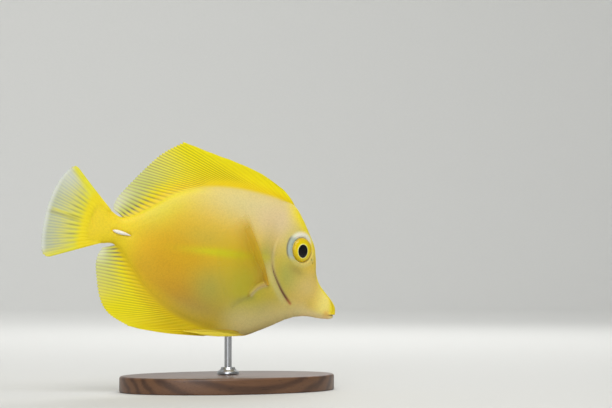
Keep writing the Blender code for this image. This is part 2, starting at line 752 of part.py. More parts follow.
def main():
    clear_scene()
    parts = make_collection("yellow_tang")
    helpers = make_collection("cutters")
    skin = make_material("skin", (0.80, 0.62, 0.10), 0.45)
    fin = make_material("fin_membrane", (0.90, 0.76, 0.08), 0.5)
    eye = make_material("eye", (0.85, 0.62, 0.05), 0.1)
    bone = make_material("tail_blade", (0.88, 0.86, 0.78), 0.4)
    wood = make_material("stand_wood", (0.16, 0.08, 0.04), 0.45)
    steel = make_material("stand_steel", (0.62, 0.62, 0.64), 0.3, 1.0)

    fish = bpy.data.objects.new("fish_pose", None)
    parts.objects.link(fish)
    _, _, belly, _, _ = body_at(ROD_AT_BODY_X)
    fish.rotation_euler = (0.0, NOSE_DOWN, 0.0)
    fish.location = (-to_world(ROD_AT_BODY_X, belly)[0] * MM, 0.0, FISH_LIFT * MM)

    body = build_body_parts(parts, helpers, skin, fish)
    build_eyes(parts, helpers, body["head"], eye, fish)
    build_nostrils(helpers, body["head"], fish)
    build_blades(parts, helpers, body["tail_root"], bone, fish)
    build_median_fins(parts, fin, fish)
    build_paired_fins(parts, fin, fish)
    build_stand(parts, helpers, body["torso"], wood, steel)
    for obj in body.values():
        finish_round(obj)


main()
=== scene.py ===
# %% [markdown]
# # A yellow tang as a museum model
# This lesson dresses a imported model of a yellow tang: one skin over the body, rayed fins as thin sheets,
# two glass-bright eyes, a white blade on each side of the tail root, and a stand of walnut and steel.
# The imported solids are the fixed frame. Each piece of the fish is worked out in the fish's own frame, in
# millimetres, with its nose along +X and its back along +Z. One function then carries it into the scene.

import math
from functools import partial

import bmesh
import bpy
import numpy as np
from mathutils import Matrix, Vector


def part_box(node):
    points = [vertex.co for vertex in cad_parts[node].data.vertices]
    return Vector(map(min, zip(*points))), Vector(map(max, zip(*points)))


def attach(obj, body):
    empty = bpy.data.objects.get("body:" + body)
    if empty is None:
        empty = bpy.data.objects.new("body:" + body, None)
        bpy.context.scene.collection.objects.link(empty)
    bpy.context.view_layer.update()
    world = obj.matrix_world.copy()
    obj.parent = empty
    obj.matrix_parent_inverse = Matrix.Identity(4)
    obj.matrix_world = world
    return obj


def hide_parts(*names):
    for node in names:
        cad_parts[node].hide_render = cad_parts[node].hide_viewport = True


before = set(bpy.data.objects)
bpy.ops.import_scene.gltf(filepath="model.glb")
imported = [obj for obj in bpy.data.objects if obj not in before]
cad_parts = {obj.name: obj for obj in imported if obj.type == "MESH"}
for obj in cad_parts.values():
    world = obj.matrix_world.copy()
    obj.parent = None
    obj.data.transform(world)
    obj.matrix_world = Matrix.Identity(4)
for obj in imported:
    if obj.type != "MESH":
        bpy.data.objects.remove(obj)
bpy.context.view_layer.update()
print("frame loaded:", len(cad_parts), "nodes")

# %% [markdown]
# The fish is tipped nose down and lifted over its stand. A real fish could be posed by parenting it to an
# empty, but finished pieces have to lie at the origin unturned, so one function moves the points instead.
# The tail sweeps a little to the fish's left, as it does between two strokes.

# %% The fish's own frame
MM = 0.001
SIDES = {1: "left", -1: "right"}
NOSE_DOWN = math.radians(17.0)
TAIL_END_X = -27.5
SWEEP_FROM_X = 35.0
SWEEP = 4.0
FISH_LIFT = 60.5
ROD_AT_BODY_X = 54.0


def sweep(x):
    """Sideways shift: zero ahead of SWEEP_FROM_X, then growing with the square of the distance behind it."""
    return SWEEP * (np.maximum(SWEEP_FROM_X - x, 0.0) / (SWEEP_FROM_X - TAIL_END_X)) ** 2


print("nose down by", round(math.degrees(NOSE_DOWN)), "degrees")

# %% Steps, bells and points


def smooth(low, high, value):
    """Smooth step: 0 below low, 1 above high, with the cubic 3t^2 - 2t^3 between them."""
    t = np.clip((value - low) / (high - low), 0.0, 1.0)
    return t * t * (3.0 - 2.0 * t)


def band(value, start, end, soft):
    """1 between start and end with soft shoulders, 0 outside."""
    return smooth(start - soft, start + soft, value) * smooth(end + soft, end - soft, value)


def bell(value, width):
    """Bell curve exp(-(value / width)^2)."""
    return np.exp(-(value / width) ** 2)


def full_turn(steps):
    """Even angles once round, without the last one, which would meet the first."""
    return np.linspace(0.0, 2.0 * np.pi, steps, endpoint=False)


def to_points(x, y, z):
    """One array of points from three coordinates, each spread over the same grid."""
    return np.stack(np.broadcast_arrays(x, y, z), axis=-1)


print("half way up a smooth step:", smooth(0.0, 1.0, 0.5))

# %% [markdown]
# A surgeonfish's body is a tall, flat disc with a concave snout. It could be sculpted, but a loft through a
# few measured stations keeps the outline true and easy to change. Each station gives the place along the
# fish, the top and bottom edge, the level of the widest point, and the half width. The first three run on
# into the tail fin, where the scaly skin thins out over the roots of the rays.

# %% Body stations
BODY = np.array((
    (-11.2, 9.3, -8.3, 0.4, 0.12),
    (-8.4, 8.8, -8.0, 0.3, 0.50),
    (-6.0, 7.8, -7.3, 0.2, 0.95),
    (-3.0, 6.3, -6.2, 0.2, 1.5),
    (1.0, 5.3, -5.2, 0.2, 2.3),
    (5.0, 7.6, -7.7, 0.5, 3.1),
    (10.0, 12.2, -12.3, 1.0, 4.0),
    (18.0, 20.4, -18.9, 1.8, 5.2),
    (28.0, 26.1, -23.4, 2.5, 6.4),
    (40.0, 29.4, -25.5, 3.0, 7.2),
    (52.0, 30.7, -25.3, 3.1, 7.5),
    (60.0, 30.7, -23.2, 3.4, 7.3),
    (65.5, 30.0, -19.6, 3.8, 6.9),
    (70.0, 26.3, -16.2, 4.0, 6.3),
    (74.0, 21.9, -13.0, 3.4, 5.5),
    (77.4, 17.9, -10.9, 2.2, 4.7),
    (79.4, 13.3, -10.0, 1.2, 4.1),
    (81.0, 8.4, -9.4, 0.2, 3.7),
    (83.6, 4.6, -8.8, -1.6, 3.2),
    (87.0, 2.1, -8.4, -2.9, 2.6),
    (90.0, 0.2, -7.8, -3.7, 2.0),
    (92.3, -1.7, -6.8, -4.3, 1.4),
    (93.3, -3.3, -5.6, -4.5, 0.6),
))
SKIN_POLES = ((-11.6, 0.0, 0.4), (93.55, 0.0, -4.5))
SECTION_FULLNESS = 2.15


def along(points, share):
    """Catmull-Rom curve: each span blends its two ends and their neighbours with cubic weights."""
    points = np.asarray(points, dtype=float)
    last = len(points) - 1
    place = np.clip(share, 0.0, 1.0) * last
    i = np.minimum(place.astype(int), last - 1)
    t = (place - i)[..., None]
    a, b = points[np.maximum(i - 1, 0)], points[i]
    c, d = points[i + 1], points[np.minimum(i + 2, last)]
    cubic = (3 * b - a - 3 * c + d) * t**3
    return 0.5 * (2 * b + (c - a) * t + (2 * a - 5 * b + 4 * c - d) * t**2 + cubic)


def by_length(points, share):
    """The same curve read by its length: the share of the arc length is turned into a share of the spans."""
    fine = np.linspace(0.0, 1.0, 400)
    curve = along(points, fine)
    length = np.concatenate(([0.0], np.cumsum(np.linalg.norm(np.diff(curve, axis=0), axis=1))))
    return along(points, np.interp(np.clip(share, 0.0, 1.0) * length[-1], length, fine))


STATION_LINE = along(BODY, np.linspace(0.0, 1.0, 2000))
print("body lofted through", len(BODY), "stations")

# %% From the body to the scene


def station(x):
    """Top, bottom, widest level and half width at each place along the fish."""
    return [np.interp(x, STATION_LINE[:, 0], STATION_LINE[:, k]) for k in range(1, 5)]


def flank(x, z):
    """Half width of the superellipse section at level z: half * (1 - |rise|^n)^(1/n)."""
    top, bottom, widest, half = station(x)
    rise = np.where(z > widest, (z - widest) / (top - widest), (widest - z) / (widest - bottom))
    return half * np.maximum(1.0 - np.abs(rise) ** SECTION_FULLNESS, 0.0) ** (1.0 / SECTION_FULLNESS)


belly = float(station(np.array(ROD_AT_BODY_X))[1])
LIFT_TO = np.array((
    -(ROD_AT_BODY_X * math.cos(NOSE_DOWN) + belly * math.sin(NOSE_DOWN)), 0.0, FISH_LIFT,
))


def to_scene(points):
    """Fish millimetres to scene metres: sweep the tail, turn about Y by the nose-down angle, then lift."""
    x, y, z = points[..., 0], points[..., 1] + sweep(points[..., 0]), points[..., 2]
    turned_x = x * math.cos(NOSE_DOWN) + z * math.sin(NOSE_DOWN)
    turned_z = z * math.cos(NOSE_DOWN) - x * math.sin(NOSE_DOWN)
    return (to_points(turned_x, y, turned_z) + LIFT_TO) * MM


print("belly over the rod:", round(belly, 1), "mm in the fish's frame")

# %% [markdown]
# Every piece below is a grid of points. One helper turns a grid into a mesh: it can wrap round, close its
# ends with a pole, and store one number a point for the materials to read. Blender's own primitives would
# need the same shape pushed into them afterwards, so arrays go straight into the mesh.

# %% Points and faces to an object


def make_object(name, points, faces, values):
    """A mesh object at the origin from scene points, face lists and named values at each point."""
    mesh = bpy.data.meshes.new(name)
    mesh.from_pydata(points.reshape(-1, 3).tolist(), [], faces)
    for key, value in values.items():
        layer = mesh.attributes.new(key, "FLOAT", "POINT")
        layer.data.foreach_set("value", np.ascontiguousarray(value, dtype=np.float32).ravel())
    solid = bmesh.new()
    solid.from_mesh(mesh)
    bmesh.ops.recalc_face_normals(solid, faces=solid.faces)
    solid.to_mesh(mesh)
    solid.free()
    mesh.shade_smooth()
    piece = bpy.data.objects.new(name, mesh)
    bpy.context.scene.collection.objects.link(piece)
    print(name, "has", len(mesh.polygons), "faces")
    return piece


def dress(piece, material, slot, *nodes):
    """Give a piece its material, fix it to the body and hide the solids that it stands for."""
    piece.data.materials.append(material)
    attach(piece, "root")
    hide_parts(*nodes)


print("helpers for objects ready")

# %% Grids that close


def tube_faces(rows, columns):
    """Quads of a grid whose columns wrap round: each joins a point, its neighbour and the next row's two."""
    a = (np.arange(rows - 1)[:, None] * columns + np.arange(columns)[None, :]).ravel()
    b = (np.arange(rows - 1)[:, None] * columns + (np.arange(columns) + 1)[None, :] % columns).ravel()
    return np.stack((a, b, b + columns, a + columns), axis=1).tolist()


def fan_faces(first, columns, pole):
    """Triangles that join a ring of points, counted from the first one, to a pole."""
    ring = np.arange(columns)
    return np.stack((ring + first, (ring + 1) % columns + first, np.full(columns, pole)), axis=1).tolist()


def wrapped(name, grid, poles, values, moved=True):
    """A closed piece from a grid that wraps round, with a fan of triangles to a pole at each end."""
    rows, columns, _ = grid.shape
    count = rows * columns
    faces = tube_faces(rows, columns) + fan_faces(0, columns, count)
    faces += fan_faces(count - columns, columns, count + 1)
    points = np.concatenate((grid.reshape(-1, 3), poles))
    full = {
        key: np.concatenate((value.ravel(), (value[0].mean(), value[-1].mean())))
        for key, value in values.items()
    }
    return make_object(name, to_scene(points) if moved else points * MM, faces, full)


def sheet(name, left, right, values):
    """A thin closed piece: two grids of the same size, back to back, joined round their border."""
    rows, columns, _ = left.shape
    a = (np.arange(rows - 1)[:, None] * columns + np.arange(columns - 1)[None, :]).ravel()
    quads = np.stack((a, a + 1, a + columns + 1, a + columns), axis=1)
    other = quads[:, ::-1] + rows * columns
    last = (rows - 1) * columns
    border = np.concatenate((
        np.arange(columns), np.arange(1, rows) * columns + columns - 1,
        last + np.arange(columns - 2, -1, -1), np.arange(rows - 2, 0, -1) * columns,
    ))
    following = np.roll(border, -1)
    rim = np.stack((following, border, border + rows * columns, following + rows * columns), axis=1)
    points = to_scene(np.concatenate((left.reshape(-1, 3), right.reshape(-1, 3))))
    full = {key: np.tile(value.ravel(), 2) for key, value in values.items()}
    return make_object(name, points, np.concatenate((quads, other, rim)).tolist(), full)


print("helpers for grids ready")

# %% [markdown]
# Materials are built from nodes. One small function adds a node with its settings and links, and one
# function turns the sRGB hex values that a designer would pick into Blender's linear colours.

# %% Material helpers
RGBA = {"data_type": "RGBA", "out": 2}


def linear(hex_code):
    """sRGB hex to linear RGBA: c / 12.92 below 0.04045, otherwise ((c + 0.055) / 1.055)^2.4."""
    parts = [int(hex_code[i:i + 2], 16) / 255 for i in (1, 3, 5)]
    return (*[c / 12.92 if c <= 0.04045 else ((c + 0.055) / 1.055) ** 2.4 for c in parts], 1.0)


def plug(tree, node, inputs):
    """Fill a node's inputs: an output of another node is linked, and any other value is stored."""
    for socket, value in inputs.items():
        if isinstance(value, bpy.types.NodeSocket):
            tree.links.new(value, node.inputs[socket])
        else:
            node.inputs[socket].default_value = value


def add(tree, kind, inputs=None, out=0, **settings):
    """Add one node with its settings and inputs, and hand back the output that the next node reads."""
    made = tree.nodes.new("ShaderNode" + kind)
    for key, value in settings.items():
        setattr(made, key, value)
    plug(tree, made, inputs or {})
    return made.outputs[out]


def new_material(name, **sockets):
    """A material with its Principled shader, whose constant sockets are set by name."""
    material = bpy.data.materials.new(name)
    material.use_nodes = True
    tree = material.node_tree
    shader = tree.nodes["Principled BSDF"]
    plug(tree, shader, {key.replace("_", " "): value for key, value in sockets.items()})
    return material, tree, shader


print("material helpers ready")

# %% [markdown]
# ## The skin
# The head, gill covers, jaw, trunk and tail root of a living fish are under one skin. A fish skin could be
# made from the parted solids by a remesh, but that blurs the mouth and gill slit. Here the loft is drawn
# again on a fine grid, and each feature is a shift along the surface's own direction, written as a formula
# of the place seen from the side: ridges and creases follow named lines.

# %% Lines on the flank
EYE_AT = np.array((71.1, 3.95, 14.1))
EYE_GAZE = np.array((0.36, 1.0, 0.06))
GILL_SLIT = (
    (60.8, 17.0), (59.7, 12.6), (60.1, 8.2), (61.5, 4.0), (63.8, 0.8), (67.4, -2.8), (70.9, -5.4),
    (73.8, -7.0),
)
CHEEK_EDGE = ((64.6, 10.0), (66.2, 5.0), (69.0, 0.0), (72.6, -3.6))
JAW_FOLDS = ((76.6, -10.6, -32), (73.4, -12.4, -36), (70.2, -14.6, -36))
MOUTH_LINE = ((93.8, -5.5), (92.5, -5.75), (91.2, -6.2), (89.8, -6.7))
LIP_CREASE = ((89.4, 0.1), (90.6, -1.4), (91.5, -2.8), (91.9, -4.2), (91.3, -5.4))
NOSTRILS = ((76.5, 11.9, 0.34), (77.4, 10.7, 0.27))
LATERAL_LINE = (
    (58.0, 17.5), (50.0, 21.0), (40.0, 21.4), (30.0, 18.8), (20.0, 13.2), (12.0, 7.0), (7.4, 3.2),
    (5.8, 1.6),
)
LATERAL_PORES = 64
PECTORAL_BASE = ((61.3, -2.3), (59.2, -3.3), (56.8, -5.6), (55.2, -9.0))
FIN_SHADE = ((59.6, -8.7), (55.3, -9.7), (51.6, -12.3), (48.5, -16.5))
BLADE_AT = (2.3, -0.6)
BLADE_LENGTH = 6.8


def from_line(x, z, points):
    """Distance to a smooth line, signed by the side of it, and the share of its length at the foot."""
    line = by_length(points, np.linspace(0.0, 1.0, 60))
    best = np.full(x.shape, 1e9)
    side = np.zeros(x.shape)
    share = np.zeros(x.shape)
    for k, (start, end) in enumerate(zip(line[:-1], line[1:])):
        run = end - start
        t = np.clip(((x - start[0]) * run[0] + (z - start[1]) * run[1]) / (run @ run), 0.0, 1.0)
        dx, dz = x - start[0] - t * run[0], z - start[1] - t * run[1]
        apart = np.hypot(dx, dz)
        nearer = apart < best
        best = np.where(nearer, apart, best)
        side = np.where(nearer, np.sign(run[0] * dz - run[1] * dx), side)
        share = np.where(nearer, (k + t) / (len(line) - 1), share)
    return best * side, share


def blot(x, z, centre, size, turn=0.0):
    """Soft ellipse: exp(-(u^2 + v^2)), where u and v are the place over the half sizes after a turn."""
    c, s = math.cos(math.radians(turn)), math.sin(math.radians(turn))
    u = ((x - centre[0]) * c + (z - centre[1]) * s) / size[0]
    v = ((z - centre[1]) * c - (x - centre[0]) * s) / size[1]
    return np.exp(-(u * u + v * v))


print("gill slit runs over", len(GILL_SLIT), "points")

# %% [markdown]
# The relief of the skin comes next: a low ring round each eye, the free edge of the gill cover with the slit
# behind it, lips with the line of the mouth between them, two nostrils, a fleshy root under each side fin,
# and the groove that the tail blade folds into. Each could be sculpted by hand, but a bump or step with a
# width in millimetres stays sharp and is the same on both sides. Each also gives the colours that go with it.

# %% Ring round the eye
RING_RADIUS = 5.6


def eye_ring(x, y, z):
    """A ring about the line of the gaze, round a hole that the eyeball fills.

    It rises as exp(-((r - 5.6) / 0.95)^2), where r is the distance from that line, more behind and above.
    """
    gaze = EYE_GAZE / np.linalg.norm(EYE_GAZE)
    offset = to_points(x, np.abs(y), z) - EYE_AT
    depth = offset @ gaze
    r = np.linalg.norm(offset - depth[..., None] * gaze, axis=-1)
    ahead, rise = offset[..., 0], offset[..., 2]
    behind, above = smooth(1.0, -4.0, ahead), smooth(0.0, 4.5, rise)
    height = 0.3 * (0.55 + 0.3 * behind + 0.3 * above)
    shift = height * bell(r - RING_RADIUS, 0.95) - 2.4 * smooth(4.85, 4.2, r)
    zones = {
        "orbit_pale": 0.55 * smooth(7.4, 5.8, r) * (0.5 + 0.3 * smooth(2.0, -2.0, rise)),
        "orbit_white": 0.9 * smooth(7.7, 6.0, r) * above * smooth(4.8, 1.8, ahead),
        "orbit_blue": smooth(7.2, 6.5, r) * behind * smooth(5.2, 2.8, np.abs(rise + 0.4)),
        "orbit_line": 0.9 * bell(r - 7.0, 0.3) * behind * smooth(4.5, 2.5, rise) * smooth(-6.0, -3.0, rise),
    }
    outside = depth > -2.5
    zones = {key: value * outside for key, value in zones.items()}
    return shift * outside, {"eye_shade": 0.65 * blot(x, z, (71.0, 6.0), (3.6, 1.7), -12), **zones}


print("ring round each eye:", 2 * RING_RADIUS, "mm across")

# %% Gill cover, mouth and nostrils


def gill_edge(x, y, z):
    """The cover's edge: up by 0.42 exp(-d / 1.9) ahead of the slit, down by 0.42 exp(-d / 0.8) behind it."""
    apart, share = from_line(x, z, GILL_SLIT)
    kept = smooth(0.0, 0.22, share) * smooth(1.0, 0.84, share)
    apart = np.where((share > 0.001) & (share < 0.999), apart, 9.0 * np.sign(apart))
    flap = 0.42 * np.where(apart > 0, np.exp(-apart / 1.9), -np.exp(apart / 0.8))
    width = 0.17 + 0.2 * smooth(0.45, 0.85, share)
    return kept * flap * (1.0 - bell(apart, 0.16)), {
        "gill_dark": smooth(0.34, 0.5, share) * kept * bell(apart + 0.25, width),
        "gill_red": 0.7 * smooth(0.8, 0.93, share) * smooth(1.0, 0.97, share) * bell(apart + 0.2, 0.5),
        "gill_shade": 0.55 * smooth(0.08, 0.3, share) * kept * bell(apart + 0.3, 0.8),
        "gill_pale": 0.35 * smooth(0.3, 0.5, share) * smooth(1.0, 0.8, share) * bell(apart + 1.9, 1.2),
    }


def mouth_and_cheek(x, y, z):
    """A step at the cheek's edge, a bell for each lip with a groove between them, and a crease behind."""
    apart, share = from_line(x, z, CHEEK_EDGE)
    shift = 0.09 * np.tanh(apart / 0.7) * bell(apart, 2.2) * np.sin(np.pi * share) ** 0.5
    apart, share = from_line(x, z, MOUTH_LINE)
    lips = smooth(1.0, 0.7, share) * smooth(88.6, 89.8, x)
    shift += lips * (0.26 * bell(apart - 0.8, 0.6) + 0.22 * bell(apart + 0.65, 0.5) - 0.7 * bell(apart, 0.24))
    dark = lips * smooth(0.78, 0.2, share) * bell(apart, 0.24)
    apart, share = from_line(x, z, LIP_CREASE)
    crease = np.sin(np.pi * share) ** 0.5
    return shift - 0.13 * crease * bell(apart, 0.3), {
        "mouth_dark": dark,
        "corner_orange": 0.6 * blot(x, z, (89.4, -6.0), (1.5, 1.3)),
        # The crease's darker colour is painted shade in the crease.
        "crease": 0.5 * crease * bell(apart, 0.34),
    }


def pores_and_folds(x, y, z):
    """The lateral line as a ridge with a pore each step, nostrils as pits in a raised rim, and jaw folds."""
    apart, share = from_line(x, z, LATERAL_LINE)
    pores = 0.6 + 0.4 * np.sin(2.0 * np.pi * share * LATERAL_PORES)
    shift = 0.06 * pores * bell(apart, 0.3) * smooth(0.0, 0.05, share) * smooth(1.0, 0.95, share)
    hole = np.zeros(x.shape)
    for at_x, at_z, radius in NOSTRILS:
        apart = np.hypot(x - at_x, z - at_z)
        shift += 0.16 * bell(apart - radius * 1.7, 0.28) - 0.4 * bell(apart, radius)
        hole += bell(apart, radius * 0.85)
    for fold_x, fold_z, turn in JAW_FOLDS:
        shift -= 0.12 * blot(x, z, (fold_x, fold_z), (2.6, 0.35), turn)
    return shift, {"nostril": np.clip(hole, 0, 1)}


print("lateral line has", LATERAL_PORES, "pores")

# %% Fin roots, blade grooves and the whole relief


def roots_and_grooves(x, y, z):
    """A ridge 0.4 high under each side fin's root, and a groove 0.5 deep and half round along each blade."""
    apart, share = from_line(x, z, PECTORAL_BASE)
    ends = smooth(0.0, 0.1, share) * smooth(1.0, 0.9, share)
    shift = 0.4 * bell(apart, 0.9) * ends
    zones = {"fin_root_pale": 0.55 * bell(apart - 0.35, 0.7) * ends}
    apart, share = from_line(x, z, FIN_SHADE)
    zones["fin_shade"] = 0.5 * bell(apart, 1.2) * smooth(0.0, 0.3, share) * smooth(1.0, 0.5, share)
    along_blade = (x - BLADE_AT[0]) / (BLADE_LENGTH / 2 + 0.6)
    groove = np.sqrt(np.clip(1.0 - along_blade**2, 0.0, 1.0)) * bell(z - BLADE_AT[1], 0.85)
    # The groove's darker orange is painted shade in the groove.
    zones["blade_groove_shade"] = 0.4 * groove
    return shift - 0.5 * groove * smooth(0.8, 1.6, np.abs(y)), zones


def relief(points):
    """Outward shift of each skin point in millimetres, summed over all features, and their colour zones."""
    shift, zones = np.zeros(points.shape[:-1]), {}
    for feature in (eye_ring, gill_edge, mouth_and_cheek, pores_and_folds, roots_and_grooves):
        moved, marks = feature(points[..., 0], points[..., 1], points[..., 2])
        shift += moved
        zones.update(marks)
    return shift, zones


print("relief ready")

# %% [markdown]
# Colour follows the body too: a painted highlight of cream along the back, deep gold behind, painted shade
# that turns the lower rear a browner gold and the breast grey, a greyer cheek, yellow edges, painted light
# along the keel, and a bright streak along the middle of the flank. These could be painted on a picture, but
# a soft blot or band in the fish's frame needs no unwrapping. Each is stored on the mesh, and the material
# mixes its colours by them.
# A blot has a centre, half sizes in millimetres, a turn in degrees and a weight.

# %% Colour zones of the flank
BLOTS = {
    # The first blot is a painted highlight: the top of the flank is paler cream where light from above falls
    # on it.
    "painted_highlight_back": ((47.0, 24.5), (27.0, 9.5), 3, 1.0),
    "gold_flank": ((24.0, -3.0), (19.0, 15.0), 10, 1.1),
    # This blot is painted shade: the lower rear is darkened to a browner gold, as if lit from above only.
    "painted_shade_lower_rear": ((33.0, -16.0), (17.0, 8.0), -12, 1.0),
    "olive_breast": ((53.0, -6.0), (9.5, 11.0), 15, 1.1),
    "olive_belly": ((39.5, -11.0), (7.5, 8.5), 15, 0.75),
    "grey_gold": ((33.0, 7.0), (9.5, 4.5), 8, 0.6),
    "belly_shade": ((36.0, -21.5), (11.0, 4.5), -4, 0.6),
    # This blot is painted shade: the lower breast, which faces down, is greyed.
    "painted_shade_breast": ((58.0, -15.0), (14.0, 8.5), 24, 1.1),
    "olive_cheek": ((68.0, 3.0), (7.2, 9.5), 24, 0.85),
    "pale_shoulder": ((58.0, 10.0), (3.4, 10.0), 8, 0.8),
    "green_shoulder": ((57.0, 7.5), (3.0, 4.8), 8, 0.6),
    "pale_nape": ((59.0, 21.5), (10.5, 8.5), 0, 1.0),
    "brow": ((67.0, 16.0), (4.5, 7.0), 0, 0.75),
    "pale_face": ((78.0, 0.8), (6.5, 8.5), -20, 0.85),
    "jowl": ((79.0, -5.5), (6.5, 3.6), -8, 0.8),
    "rear_top": ((13.0, 13.0), (15.0, 6.5), 42, 0.9),
    "tail_orange": ((9.0, -2.5), (6.5, 4.5), 20, 0.6),
    "streak": ((41.5, 3.6), (14.0, 1.5), 11, 1.25),
}


def flank_zones(points):
    """Weights from 0 to 1 for each colour of the body, as functions of the place seen from the side."""
    x, z = points[..., 0], points[..., 2]
    top, bottom, _, _ = station(x)
    height = (z - bottom) / (top - bottom)
    zones = {
        name: np.clip(weight * blot(x, z, centre, size, turn), 0, 1)
        for name, (centre, size, turn, weight) in BLOTS.items()
    }
    zones.update(
        snout_yellow=0.9 * smooth(80.0, 88.0, x),
        front_edge=smooth(0.80, 0.965, height) * smooth(60.0, 68.0, x),
        top_edge=smooth(0.9, 0.99, height) * smooth(34.0, 18.0, x),
        breast_under=0.9 * smooth(0.3, 0.05, height) * smooth(44.0, 56.0, x),
        # The keel's yellow is painted light: it brightens the down-facing lower edge, as if lit from below.
        keel_yellow=0.45 * smooth(0.14, 0.02, height) * smooth(60.0, 44.0, x),
        tail_yellow=smooth(13.0, 2.0, x),
        chin_pale=0.85 * smooth(76.0, 84.0, x) * smooth(0.22, 0.05, height),
        tip_yellow=smooth(88.6, 91.4, x + 0.25 * (z + 3.5)) * smooth(-6.0, -5.2, z),
    )
    return zones


print("colour zones ready:", len(BLOTS), "blots")

# %% [markdown]
# A living tang's skin is covered in tiny rough scales under a film of mucus: it looks like velvet with a soft
# wet sheen. A photographed skin texture isn't used. Small cells give the scales, a finer noise breaks the
# sheen, and the zones above give the colours, laid over each other in the order of the table.

# %% Skin material
SCALE_MM = 0.62
SKIN_GRAIN_MM = 2.5
# Painted light among these colours: a highlight along the back, light from below on the keel, and shade on
# the lower rear, the breast, the blade groove, the lip crease and each zone named shade.
SKIN_ZONES = {
    "gold_flank": "#D8A806", "painted_shade_lower_rear": "#CC9A18", "painted_shade_breast": "#AC9C50", "olive_breast": "#BEB22A",
    "olive_belly": "#AAA648", "grey_gold": "#C8B23E", "belly_shade": "#B09A58", "olive_cheek": "#A8AB50",
    "painted_highlight_back": "#DCCC88", "pale_nape": "#E0C89A", "brow": "#D3C762", "pale_shoulder": "#CDB46E",
    "green_shoulder": "#A2A53A", "pale_face": "#DCC47A", "jowl": "#E0C05C", "snout_yellow": "#FEEC84",
    "streak": "#D2CA12", "tail_orange": "#E8B608", "breast_under": "#E4D28C", "rear_top": "#DECF34",
    "top_edge": "#E8D41C", "keel_yellow": "#ECCE0A", "tail_yellow": "#EACF12", "eye_shade": "#A8944A",
    "orbit_pale": "#DCD286", "front_edge": "#FAE51E", "tip_yellow": "#F7E116", "chin_pale": "#F6DC98",
    "corner_orange": "#E9A93A", "orbit_white": "#EFEBDA", "orbit_blue": "#AFBCB0", "orbit_line": "#5E6166",
    "gill_shade": "#A99A6C", "gill_pale": "#D6D2A0", "fin_shade": "#8E8950", "fin_root_pale": "#E3D2B4",
    "blade_groove_shade": "#D09A14", "crease": "#B4801C", "gill_red": "#C65A22", "gill_dark": "#64242A",
    "mouth_dark": "#3A1E14", "nostril": "#7A6628",
}


def skin_colours(tree, grain):
    """A warm yellow that varies with the grain, under each zone in turn by the share that the mesh stores."""
    colour = add(tree, "Mix", {0: grain, 6: linear("#E4BC1C"), 7: linear("#ECC826")}, **RGBA)
    for key, hex_code in SKIN_ZONES.items():
        share = add(tree, "Attribute", out="Fac", attribute_name=key)
        colour = add(tree, "Mix", {0: share, 6: colour, 7: linear(hex_code)}, **RGBA)
    return colour


def skin_material():
    """Fish skin, small rough scales under mucus: dielectric, IOR 1.36, soft sheen with a thin wet coat."""
    material, tree, shader = new_material(
        "wet_scaled_fish_skin", Roughness=0.5, IOR=1.36, Subsurface_Weight=0.12,
        Subsurface_Scale=0.002, Coat_Weight=0.12, Coat_Roughness=0.3,
    )
    place = add(tree, "TexCoord", out="Object")
    grain = add(tree, "TexNoise", {"Vector": place, "Scale": 1 / (SKIN_GRAIN_MM * MM), "Detail": 4.0})
    cells = add(tree, "TexVoronoi", {"Vector": place, "Scale": 1 / (SCALE_MM * MM)})
    speck = add(tree, "MapRange", {
        "Value": cells, "From Min": 0.1, "From Max": 0.9, "To Min": 1.03, "To Max": 0.92,
    })
    height = add(tree, "Math", {0: cells, 1: grain}, operation="ADD")
    plug(tree, shader, {
        "Base Color": add(tree, "HueSaturation", {"Color": skin_colours(tree, grain), "Value": speck}),
        "Normal": add(tree, "Bump", {"Height": height, "Strength": 0.25, "Distance": 0.12 * MM}),
    })
    return material


print("skin colours:", len(SKIN_ZONES), "zones")

# %% Skin mesh
SKIN_ROWS = 372
SKIN_COLUMNS = 248


def skin_grid():
    """Superellipse rings along the body: z = widest + reach * sin^(2/n), y = half * cos^(2/n)."""
    rings = along(BODY, np.linspace(0.0, 1.0, SKIN_ROWS))
    angle = full_turn(SKIN_COLUMNS)
    rise, out = np.sin(angle)[None, :], np.cos(angle)[None, :]
    x, top, bottom, widest, half = (rings[:, k][:, None] for k in range(5))
    power = 2.0 / SECTION_FULLNESS
    reach = np.where(rise > 0, top - widest, widest - bottom)
    z = widest + reach * np.sign(rise) * np.abs(rise) ** power
    y = half * np.sign(out) * np.abs(out) ** power
    return to_points(x, y, z)


def outward(grid):
    """Unit direction away from the body: the cross product of the steps round and along the grid."""
    step_along = np.gradient(grid, axis=0)
    step_round = np.roll(grid, -1, axis=1) - np.roll(grid, 1, axis=1)
    normal = np.cross(step_round, step_along)
    normal /= np.maximum(np.linalg.norm(normal, axis=-1, keepdims=True), 1e-9)
    centre = grid.mean(axis=1, keepdims=True)
    facing = np.sign(np.sum(normal * (grid - centre), axis=-1).mean())
    return normal * facing


def build_skin():
    """The body's rings, moved outwards by the relief and closed by a pole at the tail and at the snout."""
    grid = skin_grid()
    shift, zones = relief(grid)
    zones.update(flank_zones(grid))
    return wrapped("skin", grid + outward(grid) * shift[..., None], SKIN_POLES, zones)


skin = build_skin()
dress(
    skin, skin_material(), "skin",
    "head", "lower_jaw", "gill_cover_left", "gill_cover_right", "torso", "tail_root",
)
print("skin dressed")

# %% [markdown]
# ## The fins
# A bony fish's fin is a fan of jointed rays with a thin skin between them. A plane with a picture of rays
# would look flat from the side, so each fin is a real sheet: its thickness swells along every ray, the skin
# dips between them at the edge, and the sheet waves a little. In the tail fin the rays fork half way out.

# %% Fin outlines
# The spines' share of the rays in this species: 5 of 29 along the back and 3 of 23 below.
SPINE_SHARE = {1: 5 / 29, -1: 3 / 23}
